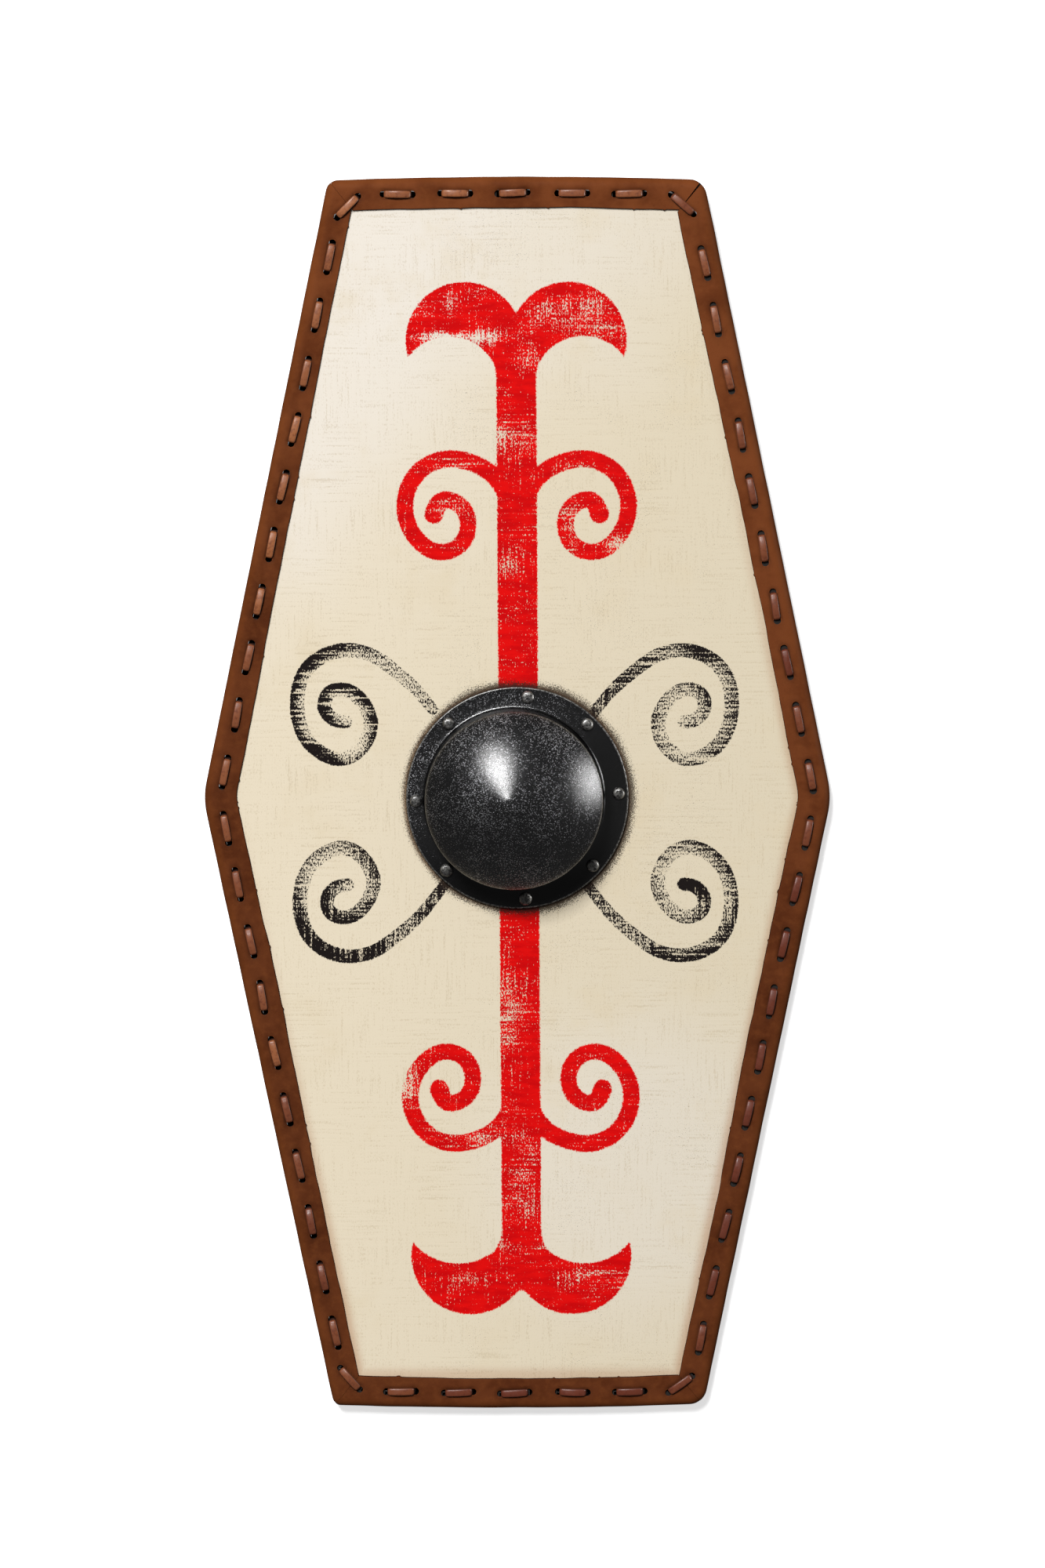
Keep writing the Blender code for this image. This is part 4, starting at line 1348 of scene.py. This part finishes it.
def build_face():
    """A thin painted skin over the board, from under the flange to under the rim."""
    top = BOARD_FRONT + FACE_LIFT
    reach = END_CORNER_Y - FACE_INSET
    ys = np.linspace(-reach, reach, FACE_ROWS + 1)
    us = np.linspace(-1, 1, FACE_COLUMNS + 1)
    x = half_width(ys)[:, None] * us[None]
    y = np.broadcast_to(ys[:, None], x.shape)
    radius = np.hypot(x, y)
    cells = (radius[:-1, :-1] + radius[1:, :-1] + radius[:-1, 1:] + radius[1:, 1:]) / 4
    kept = cells > FACE_HOLE_RADIUS
    used = np.zeros(x.shape, bool)
    dropped = np.zeros(x.shape, bool)
    for di in (0, 1):
        for dj in (0, 1):
            window = (slice(di, di + FACE_ROWS), slice(dj, dj + FACE_COLUMNS))
            used[window] |= kept
            dropped[window] |= ~kept
    on_hole = used & dropped
    pull = np.where(on_hole, FACE_HOLE_RADIUS / np.maximum(radius, 1e-6), 1)
    x, y = x * pull, y * pull

    mesh = bmesh.new()
    number = np.full(x.shape, -1)
    number[used] = np.arange(used.sum())
    vertices = [mesh.verts.new((a, b, top)) for a, b in zip(x[used], y[used])]
    for i, j in zip(*np.nonzero(kept)):
        corners = (number[i, j], number[i, j + 1], number[i + 1, j + 1], number[i + 1, j])
        mesh.faces.new([vertices[k] for k in corners])
    rim = [edge for edge in mesh.edges if len(edge.link_faces) == 1]
    skirt = bmesh.ops.extrude_edge_only(mesh, edges=rim)["geom"]
    low = [item for item in skirt if isinstance(item, bmesh.types.BMVert)]
    for vertex in low:
        vertex.co.z -= FACE_THICKNESS
    low_edges = [item for item in skirt if isinstance(item, bmesh.types.BMEdge)
                 and all(v.co.z < top - FACE_THICKNESS / 2 for v in item.verts)]
    bmesh.ops.triangle_fill(mesh, edges=low_edges, use_beauty=True, use_dissolve=False)
    face = new_object("painted_face", mesh, "painted_canvas")

    points = np.zeros(len(face.data.vertices) * 3)
    face.data.vertices.foreach_get("co", points)
    spots = points.reshape(-1, 3)[:, :2] / MM
    black, cover, turn = black_scrolls(spots)
    values = {
        "red_distance": np.clip(red_distance(spots), -DISTANCE_LIMIT, DISTANCE_LIMIT),
        "red_cover": red_cover(spots),
        "black_distance": np.clip(black, -DISTANCE_LIMIT, DISTANCE_LIMIT),
        "black_cover": cover,
        "thread_turn": turn,
    }
    for name, numbers in values.items():
        layer = face.data.attributes.new(name, "FLOAT", "POINT")
        layer.data.foreach_set("value", numbers.astype(np.float32))
    return face


# Stage, with the camera's view height taken at its target

CAMERA_DISTANCE = 5.0
CAMERA_TARGET = Vector((0.0055, 0.0122, 0.02))
CAMERA_PITCH = math.radians(4.4)
CAMERA_ROLL = math.radians(0.13)
VIEW_HEIGHT = 1.3952
SENSOR_MM = 36
FILL_LIGHT = 0.14
FLOOR_SIZE = 12


def build_camera():
    data = bpy.data.cameras.new("camera")
    data.sensor_width = SENSOR_MM
    data.lens = SENSOR_MM * CAMERA_DISTANCE / VIEW_HEIGHT
    camera = linked("camera", data)
    away = Vector((0, math.sin(CAMERA_PITCH), math.cos(CAMERA_PITCH)))
    camera.location = CAMERA_TARGET + CAMERA_DISTANCE * away
    camera.rotation_euler = (-CAMERA_PITCH, 0, -CAMERA_ROLL)
    bpy.context.scene.camera = camera


def add_light(name, towards, distance, size, power):
    """A soft panel of light in this direction from the boss, aimed at it."""
    data = bpy.data.lights.new(name, "AREA")
    data.shape = "RECTANGLE"
    data.size, data.size_y = size
    data.energy = power
    light = linked(name, data)
    towards = Vector(towards).normalized()
    light.location = towards * distance
    light.rotation_euler = towards.to_track_quat("Z", "Y").to_euler()
    return light


def build_stage():
    mesh = bmesh.new()
    bmesh.ops.create_grid(mesh, x_segments=24, y_segments=24, size=FLOOR_SIZE)
    data = bpy.data.meshes.new("floor")
    mesh.to_mesh(data)
    mesh.free()
    floor = linked("floor", data)
    floor.data.materials.append(pale_floor())
    floor.visible_diffuse = False
    floor.visible_glossy = False
    add_light("key", towards=(-0.24, 0.54, 0.81), distance=14.0, size=(2.5, 5.4), power=2180)
    gleam = add_light("gleam", towards=(0.95, 0.17, 0.25), distance=2.2, size=(0.8, 0.4), power=27)
    gleam.visible_diffuse = False
    world = bpy.data.worlds.new("studio")
    world.use_nodes = True
    background = world.node_tree.nodes["Background"]
    background.inputs["Color"].default_value = (1, 1, 1, 1)
    background.inputs["Strength"].default_value = FILL_LIGHT
    bpy.context.scene.world = world
    bpy.context.scene.view_settings.view_transform = "Standard"


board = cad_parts["board"]
board.data.materials.clear()
board.data.materials.append(raw_canvas())
build_face()
build_rim()
build_lace()
build_boss()
build_rivets()
build_grip()
build_camera()
build_stage()
